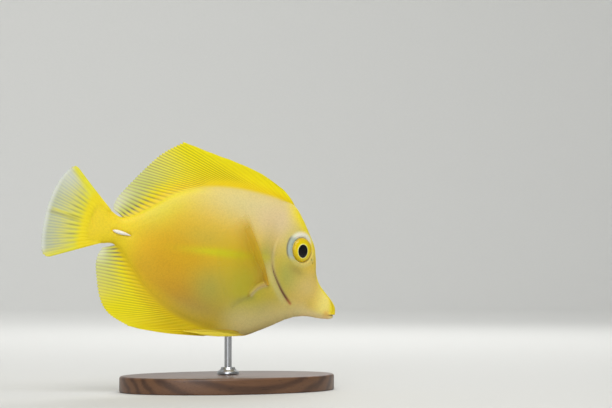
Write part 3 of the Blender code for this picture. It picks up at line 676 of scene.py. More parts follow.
# The two halves of a soft ray can show apart, so more lines are drawn than there are rays.
DORSAL_LINES = 5 + 31
DORSAL_ROOT = (65.6, 51.0, 1.6)
DORSAL_EDGES = (
    ((58.4, 34.9), (49.0, 37.6), (38.3, 38.7), (27.4, 39.0), (15.6, 39.6)),
    ((15.6, 39.6), (9.1, 33.0), (3.6, 24.3), (-1.6, 14.0), (-2.9, 9.4), (-2.4, 7.2)),
)
ANAL_LINES = 3 + 30
ANAL_ROOT = (48.0, 44.0, 1.8)
ANAL_EDGES = (
    ((43.0, -28.3), (31.5, -30.9), (20.6, -32.4), (15.0, -32.7)),
    ((15.0, -32.7), (6.6, -30.3), (1.4, -25.2), (-2.5, -16.6), (-3.4, -11.5), (-2.4, -7.6)),
)
CAUDAL_RAYS = 16
CAUDAL_ROOT = (-5.4, 7.9, -7.4)
CAUDAL_EDGE = (
    (-21.2, 19.2), (-24.6, 12.8), (-26.2, 4.6), (-26.3, -2.2), (-25.5, -9.6), (-23.7, -15.4),
    (-21.6, -17.6),
)
PECTORAL_RAYS = 15
PECTORAL_EDGE = (
    (45.0, 20.6), (40.4, 16.4), (36.4, 9.2), (36.8, 1.6), (40.2, -6.0), (45.0, -12.2), (49.6, -15.6),
)
PELVIC_RAYS = 6
PELVIC_UPPER_EDGE = ((61.0, -21.4), (50.0, -23.7), (37.0, -27.8))
PELVIC_LOWER_EDGE = ((60.0, -23.3), (48.0, -27.0), (35.4, -28.7))

print("lines:", DORSAL_LINES, "dorsal,", ANAL_LINES, "anal,", CAUDAL_RAYS, "tail")

# %% Rays and roots
MEMBRANE_HALF = 0.11
FILLET_SHARE = 0.24
FILLET_REACH = 0.075


def ray_crest(s, t, rays, fork_at):
    """Height of the rays, 0 to 1: one ridge a ray, which may fork in two beyond a share of its length.

    The ridge is exp(-(p/w)^2), with p the distance from the ray in ray spacings.
    """
    phase = s * rays - 0.5
    apart = np.abs(phase - np.round(phase))
    fork = smooth(fork_at, fork_at + 0.2, t)
    return bell(apart, 0.27) * (1.0 - fork) + bell(apart - 0.23, 0.15) * fork


def root_flesh(middle, s, t, half, more, reach, skin_end=0.0):
    """Flesh at a fin's root: a further half thickness that falls off as exp(-t / reach) along each ray.

    The ridges of the rays rise out of it over the first fifth. The skin's colours fade out at skin_end.
    """
    thick = half + (MEMBRANE_HALF - half) * smooth(0.2, 0.0, t) + more * np.exp(-np.maximum(t, -0.02) / reach)
    return thick, {"skin": smooth(skin_end, skin_end - 0.16, t), **flank_zones(middle)}


def fillet(middle, s, t, half, side):
    """The foot of a fin on the midline: it leaves the body at the body's own slope, so that no seam shows.

    Over the body's edge the half thickness gains a share of the body's half width times exp(-h / reach),
    where h is the height over the edge and the reach is a share of the body's depth. Further in, it
    blends to just under the flank. The foot carries the skin's own zones.
    """
    x, z = middle[..., 0], middle[..., 2]
    top, bottom, _, body_half = station(x)
    tall = top - bottom
    height = z - top if side > 0 else bottom - z
    lead = 0.2 + 0.8 * smooth(0.0, 0.12, s)
    foot = FILLET_SHARE * lead * body_half * np.exp(-height / (FILLET_REACH * tall))
    free = half + (MEMBRANE_HALF - half) * smooth(0.8, -0.6, height) + foot
    sunk = smooth(-0.027 * tall, -0.054 * tall, height)
    under = np.maximum(flank(x, z) - 0.22, 0.05)
    return free + (under - free) * sunk, {"skin": smooth(0.5, -1.3, height), **flank_zones(middle)}


print("fins are", 2 * MEMBRANE_HALF, "mm thick between their rays")

# %% Fin sheet
RAY_HALF = 0.14
COLUMNS_A_RAY = 10
EDGE_DIP = 0.019
NO_FORK = 2.0


def fin(
    node, material, centre, flesh, marks, rays, rows, wave, start=-0.08, ray_half=RAY_HALF, fork_at=NO_FORK,
):
    """A fin as two skins laid off sideways from a middle surface, thicker by the crest of each ray.

    centre(s, t) gives the middle surface, with s across the fin and t out along the rays. The half
    thickness is the membrane's, plus the ray's share that thins outwards, plus the flesh at the root.
    marks(s, t, ray) gives the values that the material reads. The fin stands for the solid called node.
    """
    s, t = np.meshgrid(np.linspace(0.0, 1.0, rays * COLUMNS_A_RAY + 1), np.linspace(start, 1.0, rows))
    crest = ray_crest(s, t, rays, fork_at)
    middle = centre(s, t * (1.0 - EDGE_DIP * (1.0 - crest) * smooth(0.5, 1.0, t)))
    middle[..., 1] += wave * smooth(0.1, 1.0, t) * np.sin(2.0 * np.pi * (1.7 * s + 0.6 * t))
    out = np.clip(t, 0.0, 1.0)
    half = MEMBRANE_HALF * (1.0 - 0.5 * out**6) + ray_half * (1.0 - 0.72 * out) * crest
    shape = np.zeros(middle.shape)
    shape[..., 1], zones = flesh(middle, s, t, half)
    stored = {key: np.clip(value + 0.0 * s, 0.0, 1.0) for key, value in marks(s, out, crest).items()}
    piece = sheet(node + "_skin", middle + shape, middle - shape, {"ray": crest, **stored, **zones})
    dress(piece, material, "fin_membrane", node)


print("fin sheet ready")

# %% [markdown]
# Fin skin is clear where it is thin and yellow where pigment and rays are dense. A true see-through sheet
# would need the water behind it, so the pale parts are painted pale, and light passes through the skin by
# scattering inside it. Yellow fades to grey-white from the root outwards, later along each ray than between.
# Only the side fins are clear: their front rays hide about half of what is behind, and their edge little.

# %% Fin material
FIN_GRAIN_MM = 1.6


def fin_material(name, root_hex, body_hex, pale_hex, gap_hex, dark_hex, fade, shade):
    """Fin skin over bony rays: thin and wet, IOR 1.36. Colours run from root to edge and from ray to gap."""
    material, tree, shader = new_material(
        name, Roughness=0.46, IOR=1.36, Subsurface_Weight=0.4, Subsurface_Scale=0.003,
        Subsurface_Radius=(1.0, 0.9, 0.45), Coat_Weight=0.06, Coat_Roughness=0.28,
    )
    place = add(tree, "TexCoord", out="Object")
    outwards, ray, pale, dark, rim, depth, warm, skin_share = (
        add(tree, "Attribute", out="Fac", attribute_name=key)
        for key in ("outwards", "ray", "pale", "dark", "rim", "depth", "warm", "skin")
    )
    grain = add(tree, "TexNoise", {"Vector": place, "Scale": 1 / (FIN_GRAIN_MM * MM), "Detail": 3.0})
    later = add(tree, "Math", {0: ray, 1: -0.15, 2: outwards}, operation="MULTIPLY_ADD")
    uneven = add(tree, "Math", {0: grain, 1: 0.2, 2: later}, operation="MULTIPLY_ADD")
    fading = add(tree, "MapRange", {
        "Value": uneven, "From Min": fade[0], "From Max": fade[1],
    }, interpolation_type="SMOOTHSTEP")
    faded = add(tree, "Math", {0: fading, 1: pale}, operation="MULTIPLY")
    yellow = add(tree, "Mix", {0: warm, 6: linear(body_hex), 7: linear(root_hex)}, **RGBA)
    between = add(tree, "MapRange", {"Value": ray, "From Max": 0.5, "To Min": 1.0, "To Max": 0.0})
    clear = add(tree, "Mix", {0: between, 6: linear(pale_hex), 7: linear(gap_hex)}, **RGBA)
    base = add(tree, "Mix", {0: faded, 6: yellow, 7: clear}, **RGBA)
    # Between the rays the colour is darkened by painted shade in the furrows: depth times shade, taken off
    # the value.
    painted_furrow_shade = add(tree, "Math", {0: between, 1: depth}, operation="MULTIPLY")
    deeper = add(tree, "Math", {0: painted_furrow_shade, 1: -shade, 2: 1.02}, operation="MULTIPLY_ADD")
    shaded = add(tree, "HueSaturation", {"Color": base, "Value": deeper})
    darker = add(tree, "Mix", {0: dark, 6: shaded, 7: linear(dark_hex)}, **RGBA)
    edged = add(tree, "Mix", {0: rim, 6: darker, 7: linear("#DDE0DA")}, **RGBA)
    plug(tree, shader, {
        "Base Color": add(tree, "Mix", {0: skin_share, 6: edged, 7: skin_colours(tree, grain)}, **RGBA),
        "Normal": add(tree, "Bump", {"Height": grain, "Strength": 0.2, "Distance": 0.08 * MM}),
    })
    return material


median_skin = fin_material(
    "wet_fin_skin_over_rays", "#E7CA04", "#E8D400", "#BCC268", "#ADA370", "#5F5860", (0.2, 0.74), 0.5,
)
tail_skin = fin_material(
    "wet_tail_fin_skin", "#DACE2A", "#DCD22C", "#A6AE92", "#9AA292", "#7E7A3C", (0.26, 0.98), 0.12,
)
belly_fin_skin = fin_material(
    "wet_belly_fin_skin", "#F8CE50", "#FFE23C", "#F6E65A", "#ECDA4C", "#D08C20", (0.3, 0.9), 0.06,
)
side_fin_skin = fin_material(
    "clear_side_fin_skin", "#CFA01A", "#D6AE1E", "#CDBE30", "#C5B732", "#8A8848", (0.2, 0.9), 0.04,
)
side_tree = side_fin_skin.node_tree
plug(side_tree, side_tree.nodes["Principled BSDF"], {
    "Alpha": add(side_tree, "Attribute", out="Fac", attribute_name="cover"),
})
print("four fin skins ready")

# %% [markdown]
# The dorsal and anal fins run along the back and belly. Their soft rays lean far back, almost along the body,
# as they do while the fish glides. The tail fin is a fan. All three lie in the fish's middle plane. Each
# could be cut from a flat plate, but a fan of rays from root to edge carries the colours outwards by itself.

# %% Marks of the fins on the midline


def dorsal_marks(s, t, ray):
    """Yellow in front and near the body, paler behind and outwards, with dark gaps low at the rear."""
    return {
        "outwards": t + 0.3 * smooth(0.72, 1.0, s),
        "pale": smooth(0.3, 0.82, s + 0.3 * (t - 0.6)),
        "dark": (1 - ray) ** 5 * band(t, 0.16, 0.36, 0.07) * smooth(0.7, 0.94, s) * smooth(1.0, 0.97, s),
        "rim": 0.42 * smooth(0.35, 0.95, t) * smooth(0.72, 0.95, s),
        "depth": (0.12 + 0.88 * smooth(0.12, 0.24, s) * smooth(0.1, 0.3, t + 0.5 * smooth(0.4, 0.8, s)))
        * (1.0 - 0.6 * smooth(0.55, 0.95, t) * smooth(0.5, 0.8, s)) * (1.0 - 0.25 * smooth(0.4, 0.7, s)),
        "warm": smooth(0.4, 0.0, t),
    }


def anal_marks(s, t, ray):
    """Like the dorsal fin's, but warm over the front half and pale only towards the rear."""
    return {
        "outwards": t + 0.25 * smooth(0.8, 1.0, s),
        "pale": smooth(0.46, 0.95, s + 0.2 * (t - 0.6)),
        "dark": 0.85 * (1 - ray) ** 5 * band(t, 0.1, 0.4, 0.08) * smooth(0.78, 0.94, s),
        "rim": 0.38 * smooth(0.4, 0.95, t) * smooth(0.8, 0.96, s),
        "depth": (0.34 + 0.42 * smooth(0.05, 0.3, s) * smooth(0.0, 0.25, t))
        * (1.0 - 0.5 * smooth(0.55, 0.95, t)),
        "warm": np.maximum(smooth(0.4, 0.0, t), 0.9 * smooth(0.5, 0.15, s) * smooth(1.0, 0.8, t)),
    }


def tail_marks(s, t, ray):
    """Pale outwards but for its two edges and middle, with painted fold shade in the root half and a bright
    rim.
    """
    uneven = 0.78 + 0.22 * np.cos(np.pi * CAUDAL_RAYS * s)
    # Dark between the rays in the root half: painted shade of the fin's folds.
    painted_fold_shade = 0.75 * (1 - ray) ** 3 * uneven * band(t, 0.27, 0.6, 0.1) * band(s, 0.2, 0.84, 0.1)
    tip = 0.6 * smooth(0.9, 0.99, t) * band(s, 0.06, 0.92, 0.04)
    upper_edge = 0.35 * smooth(0.4, 0.1, s) * smooth(0.5, 0.9, t) * smooth(0.05, 0.1, s)
    middle_ray = band(s, 0.488, 0.512, 0.012) * smooth(1.0, 0.8, t)
    return {
        "outwards": t,
        "pale": smooth(0.1 - 0.09 * t, 0.22 - 0.13 * t, s) * smooth(1.0, 0.88, s) * (1.0 - 0.8 * middle_ray),
        "dark": np.maximum(painted_fold_shade, 0.5 * band(s, 0.515, 0.548, 0.014) * smooth(0.3, 0.5, t)),
        "rim": np.maximum(tip, upper_edge),
        "depth": smooth(0.3, 0.6, t),
        "warm": smooth(0.5, 0.2, t),
    }


print("marks of the midline fins ready")

# %% Fins on the midline


def median_centre(s, t, root, edges, side, swell):
    """Rays from the body's edge to the fin's edge, whose two runs meet at the peak.

    The spines' roots run from root[0] to root[1] and the soft rays' from there to root[2]. The front
    rays bow away from the body by swell * 4t(1 - t), and inside it they reach less far in.
    """
    share = SPINE_SHARE[side]
    t = np.where(t < 0.0, t * (0.2 + 0.8 * smooth(0.0, 0.2, s)), t)
    in_front = s < share
    soft = np.clip((s - share) / (1.0 - share), 0.0, 1.0)
    spines, rays = root[0] + (root[1] - root[0]) * s / share, root[1] + (root[2] - root[1]) * soft
    x = np.where(in_front, spines, rays)
    z = station(x)[0 if side > 0 else 1]
    tip = np.where(in_front[..., None], by_length(edges[0], s / share), by_length(edges[1], soft))
    bow = side * swell * 4.0 * t * (1.0 - t) * np.maximum(1.0 - s / share / 2, 0.0)
    return to_points(x + (tip[..., 0] - x) * t, 0.0, z + (tip[..., 1] - z) * t + bow)


def corner(s):
    """Share by which outer rays are shortened to round a corner: a quarter circle over the first 0.075."""
    return 1.0 - np.sqrt(1.0 - (1.0 - np.minimum(s / 0.075, 1.0)) ** 2)


def caudal_centre(s, t):
    """A fan from an upright root line to the fin's edge, with its two corners rounded."""
    root_x, high, low = CAUDAL_ROOT
    root_z = high + (low - high) * s
    tip = by_length(CAUDAL_EDGE, s)
    t = t * (1.0 - 0.1 * corner(s) - 0.08 * corner(1.0 - s))
    return to_points(root_x + (tip[..., 0] - root_x) * t, 0.0, root_z + (tip[..., 1] - root_z) * t)


fin(
    "dorsal_fin", median_skin,
    partial(median_centre, root=DORSAL_ROOT, edges=DORSAL_EDGES, side=1, swell=0.7),
    partial(fillet, side=1), dorsal_marks, rays=DORSAL_LINES, rows=76, wave=0.45, start=-0.42,
)
fin(
    "anal_fin", median_skin,
    partial(median_centre, root=ANAL_ROOT, edges=ANAL_EDGES, side=-1, swell=0.6),
    partial(fillet, side=-1), anal_marks, rays=ANAL_LINES, rows=70, wave=0.35, start=-0.42,
)
fin(
    "tail_fin", tail_skin, caudal_centre, partial(root_flesh, more=0.55, reach=0.16, skin_end=0.44),
    tail_marks, rays=CAUDAL_RAYS, rows=64, wave=0.35, start=-0.12, ray_half=0.1, fork_at=0.5,
)
print("midline fins dressed")

# %% [markdown]
# The side fins are raised in mid stroke: each springs from a short fleshy arc behind the gill cover and
# stands off the flank to the rear. The belly fins are folded back along the keel. One side could be mirrored
# from the other, but a sign in each formula draws both the same way.

# %% Paired fins
PECTORAL_FLARE = 3.8


def pectoral_marks(s, t, ray):
    """Warm at the root. It hides most at its front rays, less at the next ones and little at its edge."""
    front = 0.31 * bell(s - 0.06, 0.1) * smooth(0.0, 0.045, s) * smooth(1.02, 0.8, t)
    rays = bell(s, 0.4) * smooth(0.0, 0.045, s) * smooth(1.0, 0.4, t) * (0.16 + 0.06 * ray)
    return {
        "outwards": t, "pale": smooth(0.1, 0.5, s), "dark": 0.0, "rim": 0.0, "depth": 0.6,
        "warm": smooth(0.4, 0.0, t), "cover": front + rays + 0.2 * smooth(0.2, 0.0, t) + 0.03,
    }


def pelvic_marks(s, t, ray):
    """Yellow all over, with an orange upper edge that fades in from the root."""
    return {
        "outwards": t, "pale": 0.0, "dark": 0.8 * smooth(0.8, 1.0, s) * smooth(0.05, 0.3, t), "rim": 0.0,
        "depth": 0.6, "warm": smooth(0.4, 0.0, t),
    }


def pectoral_centre(s, t, side):
    """A fan from the fleshy arc to the fin's edge, which stands off the flank by up to flare * t^1.4.

    Its front rays bow forwards by 0.8 * 4t(1 - t).
    """
    root, tip = along(PECTORAL_BASE, s), by_length(PECTORAL_EDGE, s)
    flat = root + (tip - root) * t[..., None]
    x, z = flat[..., 0] + 0.8 * (1.0 - s) ** 2 * 4.0 * t * (1.0 - t), flat[..., 1]
    flare = PECTORAL_FLARE * (0.55 + 0.45 * np.sin(np.pi * s)) * np.clip(t, 0.0, 1.0) ** 1.4
    return to_points(x, side * (flank(x, z) + 0.25 + 0.65 * smooth(0.0, 0.25, t) + flare), z)


def pelvic_centre(s, t, side):
    """A narrow fan between two edges along the keel, which springs from inside the body and lies on it."""
    out = np.clip(t, 0.0, 1.0)
    upper, lower = along(PELVIC_UPPER_EDGE, out), along(PELVIC_LOWER_EDGE, out)
    spread = 0.12 + 0.88 * smooth(-0.05, 0.36, t)
    flat = lower + (upper - lower) * (s * spread)[..., None]
    x, z = flat[..., 0] - 20.0 * np.minimum(t, 0.0), flat[..., 1] - 12.0 * np.minimum(t, 0.0)
    beside = np.maximum(flank(x, z) + 0.4 - 0.45 * s, 2.35 - 0.95 * out**2)
    return to_points(x, side * (beside - 1.5 * smooth(0.26, -0.05, t)), z)


for side, word in SIDES.items():
    fin(
        "pectoral_fin_" + word, side_fin_skin, partial(pectoral_centre, side=side),
        partial(root_flesh, more=0.3, reach=0.07), pectoral_marks,
        rays=PECTORAL_RAYS, rows=44, wave=0.3, start=-0.03, ray_half=0.06,
    )
    fin(
        "pelvic_fin_" + word, belly_fin_skin, partial(pelvic_centre, side=side),
        partial(root_flesh, more=0.1, reach=0.12), pelvic_marks,
        rays=PELVIC_RAYS, rows=44, wave=0.1, ray_half=0.05,
    )
print("paired fins dressed")

# %% [markdown]
# ## The eyes
# A tang's eye is a flattened ball that looks outwards and a little ahead. The iris is a ring of yellow with a
# thin bright line round the black pupil, all under a clear, wet front. It could be built as iris and clear
# dome apart. One turned ball with a clear coat shows the same at this size, with no hidden surfaces.

# %% Eye shape
EYE_RADIUS = 4.9
EYE_FRONT = 2.42
EYE_BACK = 2.35
PUPIL_RADIUS = 2.45
PUPIL_OFFSET = 0.6
PUPIL_BULGE = 0.12
EYE_RINGS = 64
EYE_STEPS = 96


def build_eye(side):
    """A ball of revolution about the gaze, flat in front: height F (1 - (r/R)^5)^0.5, and B sin(a) behind.

    The pupil is an upright oval a little below and behind the middle. Each point stores its distance from
    the pupil's centre, which turns into the distance from the eye's own centre towards the rim.
    """
    angle = np.linspace(math.pi / 2 - 0.02, -math.pi / 2 + 0.02, EYE_RINGS)
    turn = full_turn(EYE_STEPS)
    radius = EYE_RADIUS * np.cos(angle)
    seen = np.where(angle > 0, radius, EYE_RADIUS)[:, None]
    inner = smooth(4.4, 2.6, seen)
    across_pupil = (seen * np.cos(turn) + side * PUPIL_OFFSET * inner) / (1.0 - 0.05 * inner)
    up_pupil = (seen * np.sin(turn) + PUPIL_OFFSET * inner) / (1.0 + 0.05 * inner)
    out = np.hypot(across_pupil, up_pupil)
    front = EYE_FRONT * np.sqrt(1.0 - (radius / EYE_RADIUS) ** 5)
    height = np.where(angle > 0, front, EYE_BACK * np.sin(angle))[:, None]
    bulge = PUPIL_BULGE * smooth(PUPIL_RADIUS + 0.25, PUPIL_RADIUS - 0.25, out)
    height = height + bulge * (angle > 0)[:, None]
    gaze = Vector((EYE_GAZE[0], side * EYE_GAZE[1], EYE_GAZE[2])).normalized()
    across = np.array(gaze.cross(Vector((0, 0, 1))).normalized())
    gaze = np.array(gaze)
    upward = np.cross(across, gaze)
    round_the_gaze = np.cos(turn)[:, None] * across + np.sin(turn)[:, None] * upward
    centre = EYE_AT * (1.0, side, 1.0)
    grid = centre + radius[:, None, None] * round_the_gaze[None] + height[..., None] * gaze
    poles = (centre + gaze * (EYE_FRONT + PUPIL_BULGE), centre - gaze * EYE_BACK)
    return wrapped("eyeball_" + SIDES[side], grid, poles, {"radius_mm": out})


print("eyes", 2 * EYE_RADIUS, "mm across")

# %% Eye material
IRIS_FIBRE_MM = 0.5
EYE_STOPS = (
    (0.0, "#030304"), (0.470, "#050508"), (0.49, "#2A2608"), (0.51, "#FBF7B4"), (0.55, "#F2E23A"),
    (0.64, "#EBD200"), (0.78, "#E0BE00"), (0.88, "#D2B204"), (0.92, "#BC9E2A"), (0.95, "#D8D2A0"),
    (1.0, "#E6E4D0"),
)


def eye_material():
    """Eye: black pupil, fibrous yellow iris and pale rim under a clear wet front, IOR 1.34, polished."""
    material, tree, shader = new_material(
        "wet_fish_eye", Roughness=0.3, IOR=1.34, Specular_IOR_Level=0.1,
        Coat_Weight=1.0, Coat_Roughness=0.03, Coat_IOR=1.34,
    )
    out = add(tree, "Attribute", out="Fac", attribute_name="radius_mm")
    place = add(tree, "TexCoord", out="Object")
    fibre = add(tree, "TexNoise", {"Vector": place, "Scale": 1 / (IRIS_FIBRE_MM * MM), "Detail": 5.0})
    wander = add(tree, "Math", {0: fibre, 1: 0.2, 2: out}, operation="MULTIPLY_ADD")
    share = add(tree, "Math", {0: wander, 1: EYE_RADIUS + 0.3}, operation="DIVIDE")
    ramp = add(tree, "ValToRGB", {"Fac": share})
    stops = ramp.node.color_ramp.elements
    while len(stops) < len(EYE_STOPS):
        stops.new(0.5)
    for stop, (position, hex_code) in zip(stops, EYE_STOPS):
        stop.position = position
        stop.color = linear(hex_code)
    plug(tree, shader, {
        "Base Color": ramp,
        "Normal": add(tree, "Bump", {"Height": fibre, "Strength": 0.15, "Distance": 0.05 * MM}),
    })
    return material


eye_finish = eye_material()
for side, word in SIDES.items():
    dress(build_eye(side), eye_finish, "eye", "eye_" + word)
print("two eyes placed")

# %% [markdown]
# The blade that gives surgeonfish their name lies in a groove on each side of the tail root, point forwards.
# A cone would look like a thorn: the real one is a flat, tapered scale, thick at its rear hinge.

# %% Tail blades
BLADE_HALF_WIDTH = 0.62
BLADE_HALF_HEIGHT = 0.72


def build_blade(side):
    """Rings along the blade: the swell is sin(pi u^0.7)^0.8, flattened against the skin."""
    share = np.linspace(0.012, 0.988, 60)
    turn = full_turn(28)
    x = BLADE_AT[0] - BLADE_LENGTH / 2 + BLADE_LENGTH * share
    swell = np.sin(np.pi * share**0.7) ** 0.8
    middle = side * (flank(x, np.full(x.shape, BLADE_AT[1])) - 0.02)
    y = middle[:, None] + BLADE_HALF_WIDTH * np.outer(swell, np.cos(turn))
    z = BLADE_AT[1] + BLADE_HALF_HEIGHT * np.outer(swell, np.sin(turn))
    grid = to_points(x[:, None], y, z)
    poles = [(x[k] + d, middle[k], BLADE_AT[1]) for k, d in ((0, -0.06), (-1, 0.06))]
    return wrapped("blade_" + SIDES[side], grid, poles, {})


def blade_material():
    """Enamel-like scale bone: white, faintly yellow in streaks, dense and satin, IOR 1.55."""
    material, tree, shader = new_material(
        "scale_bone_blade", Roughness=0.34, IOR=1.55, Subsurface_Weight=0.15, Subsurface_Scale=0.001,
    )
    place = add(tree, "TexCoord", out="Object")
    streaks = add(tree, "TexNoise", {"Vector": place, "Scale": 1 / (0.8 * MM), "Detail": 4.0})
    plug(tree, shader, {
        "Base Color": add(tree, "Mix", {0: streaks, 6: linear("#E4DEC8"), 7: linear("#F4F1EA")}, **RGBA),
        "Normal": add(tree, "Bump", {"Height": streaks, "Strength": 0.2, "Distance": 0.05 * MM}),
    })
    return material


blade_finish = blade_material()
for side, word in SIDES.items():
    dress(build_blade(side), blade_finish, "tail_blade", "tail_blade_" + word)
print("two blades placed")

# %% [markdown]
# ## The stand
# The base is an oval of oiled walnut with an eased edge, the rod is drawn steel, and the collar is turned.
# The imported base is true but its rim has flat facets, so a finer oval takes its place. The rod keeps its
# solid and gets a better finish.

# %% Stand shapes
base_box, rod_box, collar_box = (
    np.array([tuple(corner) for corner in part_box(node)]) / MM
    for node in ("stand_base", "stand_rod", "stand_collar")
)
EDGE_EASE = 1.0
FOOT_EASE = 0.6


def rings(reach_x, reach_y, height, steps):
    """Oval rings about the upright axis: x = reach_x cos(a), y = reach_y sin(a), each at its own height."""
    turn = full_turn(steps)
    return to_points(np.outer(reach_x, np.cos(turn)), np.outer(reach_y, np.sin(turn)), height[:, None])


def build_base():
    """An oval plate from underside to top: insets from the rim, with a quarter round at each edge."""
    half_x, half_y, thick = base_box[1, 0], base_box[1, 1], base_box[1, 2] - base_box[0, 2]
    arc = np.linspace(0.0, np.pi / 2, 8)
    lower = FOOT_EASE * np.stack((1 - np.sin(arc), 1 - np.cos(arc)), axis=1)
    upper = np.stack((EDGE_EASE * (1 - np.cos(arc)), thick - EDGE_EASE * (1 - np.sin(arc))), axis=1)
    under = ((half_y * 0.5, 0.0), (half_y * 0.2, 0.0), (0.9, 0.0))
    top = ((1.6, thick), (half_y * 0.2, thick), (half_y * 0.5, thick))
    inset, height = np.concatenate((under, lower, upper, top)).T
    grid = rings(half_x - inset, half_y - inset, height, 160)
    return wrapped("oval_base", grid, ((0.0, 0.0, 0.0), (0.0, 0.0, thick)), {}, moved=False)


def build_collar():
    """A turned collar: the profile's radius and height, closed on itself like a ring."""
    outer, inner = collar_box[1, 0], rod_box[1, 0] + 0.3
    low, high = collar_box[:, 2]
    radius, height = np.array((
        (inner, low), (outer - 0.1, low), (outer, low + 0.1), (outer, low + 0.75), (outer - 0.15, low + 0.95),
        (inner + 1.5, low + 1.5), (inner + 1.0, low + 2.1), (inner + 0.9, high - 0.08), (inner + 0.8, high),
        (inner + 0.08, high), (inner, high - 0.08),
    )).T
    steps = 96
    points = rings(radius, radius, height, steps)
    last = (len(radius) - 1) * steps
    a = np.arange(steps)
    b = (a + 1) % steps
    faces = tube_faces(len(radius), steps) + np.stack((last + a, last + b, b, a), axis=1).tolist()
    piece = make_object("turned_collar", points * MM, faces, {})
    piece.data.set_sharp_from_angle(angle=math.radians(38))
    return piece


print("base", np.round(base_box[1] - base_box[0], 1), "mm")

# %% Stand materials
WALNUT_RING_MM = 4.524
WALNUT_PORE_MM = 0.35
STEEL_LINE_MM = 0.3


def walnut():
    """Oiled walnut, planed and sanded: long brown grain, fine pores, satin. Growth rings about 4.5 mm apart.

    A wave texture repeats with each 2 pi / 20 of its scaled length.
    """
    material, tree, shader = new_material(
        "oiled_walnut", Roughness=0.38, IOR=1.5, Coat_Weight=0.12, Coat_Roughness=0.3,
    )
    place = add(tree, "TexCoord", out="Object")
    stretched = add(tree, "Mapping", {
        "Vector": place, "Scale": (0.08, 1.0, 1.0), "Rotation": (math.radians(35.0), 0.0, 0.0),
    })
    warp = add(tree, "TexNoise", {"Vector": stretched, "Scale": 1 / (9 * MM), "Detail": 3.0})
    bands = add(tree, "TexWave", {
        "Vector": stretched, "Scale": 2.0 * math.pi / 20.0 / (WALNUT_RING_MM * MM), "Distortion": 7.0,
        "Detail": 4.0, "Detail Scale": 0.9, "Detail Roughness": 0.6,
    }, out="Fac", bands_direction="Y")
    figure = add(tree, "Math", {0: warp, 1: 0.55, 2: bands}, operation="MULTIPLY_ADD")
    ramp = add(tree, "ValToRGB", {"Fac": figure})
    for stop, position, hex_code in zip(ramp.node.color_ramp.elements, (0.2, 1.0), ("#482E1E", "#6B4930")):
        stop.position = position
        stop.color = linear(hex_code)
    fine = add(tree, "Mapping", {"Vector": place, "Scale": (0.04, 1.0, 1.0)})
    pores = add(tree, "TexNoise", {"Vector": fine, "Scale": 1 / (WALNUT_PORE_MM * MM), "Detail": 2.0})
    flecks = add(tree, "MapRange", {
        "Value": pores, "From Min": 0.58, "From Max": 0.72, "To Min": 1.0, "To Max": 0.62,
    })
    plug(tree, shader, {
        "Base Color": add(tree, "HueSaturation", {"Color": ramp, "Value": flecks}),
        "Normal": add(tree, "Bump", {"Height": flecks, "Strength": 0.25, "Distance": 0.05 * MM}),
    })
    return material


def drawn_steel(name, scale):
    """Stainless steel, drawn or turned, lightly brushed: grey metal with fine lines that break the sheen."""
    material, tree, shader = new_material(name, Metallic=1.0, Base_Color=linear("#B9BBBE"))
    pulled = add(tree, "Mapping", {"Vector": add(tree, "TexCoord", out="Object"), "Scale": scale})
    lines = add(tree, "TexNoise", {"Vector": pulled, "Scale": 1 / (STEEL_LINE_MM * MM), "Detail": 4.0})
    plug(tree, shader, {
        "Roughness": add(tree, "MapRange", {"Value": lines, "To Min": 0.2, "To Max": 0.38}),
        "Normal": add(tree, "Bump", {"Height": lines, "Strength": 0.12, "Distance": 0.03 * MM}),
    })
    return material


dress(build_base(), walnut(), "stand_wood", "stand_base")
dress(build_collar(), drawn_steel("turned_stainless_steel", (1.0, 1.0, 4.0)), "stand_steel", "stand_collar")
rod_steel = drawn_steel("drawn_stainless_steel", (1.0, 1.0, 0.08))
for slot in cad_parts["stand_rod"].material_slots:
    slot.material = rod_steel
print("stand dressed")

# %% [markdown]
# ## Floor, light and camera
# A museum case is lit softly from above. One large soft light hangs over the fish on the camera's side, a
# second fills in a cone from behind the camera, a third washes the wall that the camera sees, and a fourth
# lights the edges from behind. A pale floor sweeps up all round. The camera stands where the photo's did: at
# the fish's level, on its right side and 22 degrees to the rear, with a long lens.

# %% Floor
FLOOR_RADIUS = 1.5
SWEEP_RADIUS = 0.7
WALL_HEIGHT = 2.2
FLOOR_STEPS = 96


def build_floor():
    """A flat round floor that turns up in a quarter circle into a wall, so that every view is plain."""
    arc = np.linspace(0.0, np.pi / 2, 24)
    flat = np.linspace(0.05, FLOOR_RADIUS, 10)[:-1]
    wall = np.full(3, FLOOR_RADIUS + SWEEP_RADIUS)
    out = np.concatenate((flat, FLOOR_RADIUS + SWEEP_RADIUS * np.sin(arc), wall))
    rise = np.concatenate((0.0 * flat, SWEEP_RADIUS * (1 - np.cos(arc)), np.linspace(1.2, WALL_HEIGHT, 3)))
    points = np.concatenate((rings(out, out, rise, FLOOR_STEPS).reshape(-1, 3), np.zeros((1, 3))))
    faces = tube_faces(len(out), FLOOR_STEPS) + fan_faces(0, FLOOR_STEPS, len(points) - 1)
    return make_object("studio_floor", points, faces, {})


def studio_paper():
    """Matt paper, off-white, very faintly mottled."""
    material, tree, shader = new_material("matt_studio_paper", Roughness=0.85)
    place = add(tree, "TexCoord", out="Object")
    mottle = add(tree, "TexNoise", {"Vector": place, "Scale": 1 / (3 * MM), "Detail": 3.0})
    tone = add(tree, "Mix", {0: mottle, 6: linear("#D2D2CF"), 7: linear("#D6D6D3")}, **RGBA)
    plug(tree, shader, {"Base Color": tone})
    return material


floor = build_floor()
floor.data.materials.append(studio_paper())

# %% Lights
CENTRE = Vector((-0.012, 0.0, 0.052))


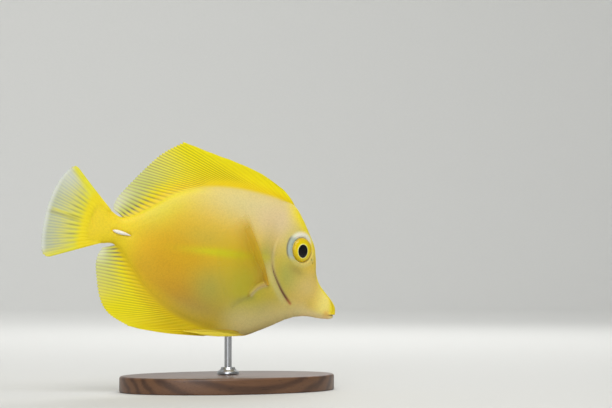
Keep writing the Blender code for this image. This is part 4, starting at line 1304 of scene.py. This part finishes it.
def soft_light(name, place, size, power, tint="#FFFFFF", aim=CENTRE, spread=math.pi):
    """A square area light that faces the fish's middle, or another place, in a cone as wide as its spread."""
    lamp = bpy.data.lights.new(name, "AREA")
    lamp.size = size
    lamp.spread = spread
    lamp.energy = power
    lamp.color = linear(tint)[:3]
    light = bpy.data.objects.new(name, lamp)
    light.location = place
    light.rotation_euler = (aim - Vector(place)).to_track_quat("-Z", "Y").to_euler()
    bpy.context.scene.collection.objects.link(light)


soft_light("key_over_the_fish", (-0.10, -0.38, 0.72), 0.55, 3.7, "#FFFDF8")
soft_light("fill_by_the_camera", (-0.60, -1.10, 0.42), 0.8, 1.65, "#F6F9FF", spread=math.radians(100.0))
soft_light("wash_on_the_backdrop", (0.0, 0.75, 1.25), 0.8, 12.0, aim=Vector((0.3, 2.1, 0.35)))
soft_light("rim_from_behind", (0.35, 0.55, 0.55), 0.4, 2.0)
world = bpy.data.worlds.new("pale_room")
world.use_nodes = True
plug(world.node_tree, world.node_tree.nodes["Background"], {"Color": linear("#E6E8EA"), "Strength": 0.62})
bpy.context.scene.world = world
bpy.context.scene.view_settings.view_transform = "Standard"
print("four soft lights")

# %% Camera
CAMERA_AZIMUTH = math.radians(-22.0)
CAMERA_ELEVATION = math.radians(-2.0)
CAMERA_DISTANCE = 0.745
CAMERA_AIM = Vector((0.0318, 0.0, 0.071))
FIELD_OF_VIEW = math.radians(18.0)


def place_camera():
    """Camera at a distance from its aim: azimuth 0 looks along +Y, a negative one moves towards the tail."""
    toward = Vector((
        math.sin(CAMERA_AZIMUTH) * math.cos(CAMERA_ELEVATION),
        -math.cos(CAMERA_AZIMUTH) * math.cos(CAMERA_ELEVATION),
        math.sin(CAMERA_ELEVATION),
    ))
    camera = bpy.data.objects.new("camera", bpy.data.cameras.new("camera"))
    camera.data.angle = FIELD_OF_VIEW
    camera.data.clip_start = 0.01
    camera.location = CAMERA_AIM + toward * CAMERA_DISTANCE
    camera.rotation_euler = (-toward).to_track_quat("-Z", "Y").to_euler()
    bpy.context.scene.collection.objects.link(camera)
    bpy.context.scene.camera = camera
    print("camera stands", round(camera.location.z / MM), "mm over the floor")


place_camera()

# %% [markdown]

# %% Finish


print("scene finished")
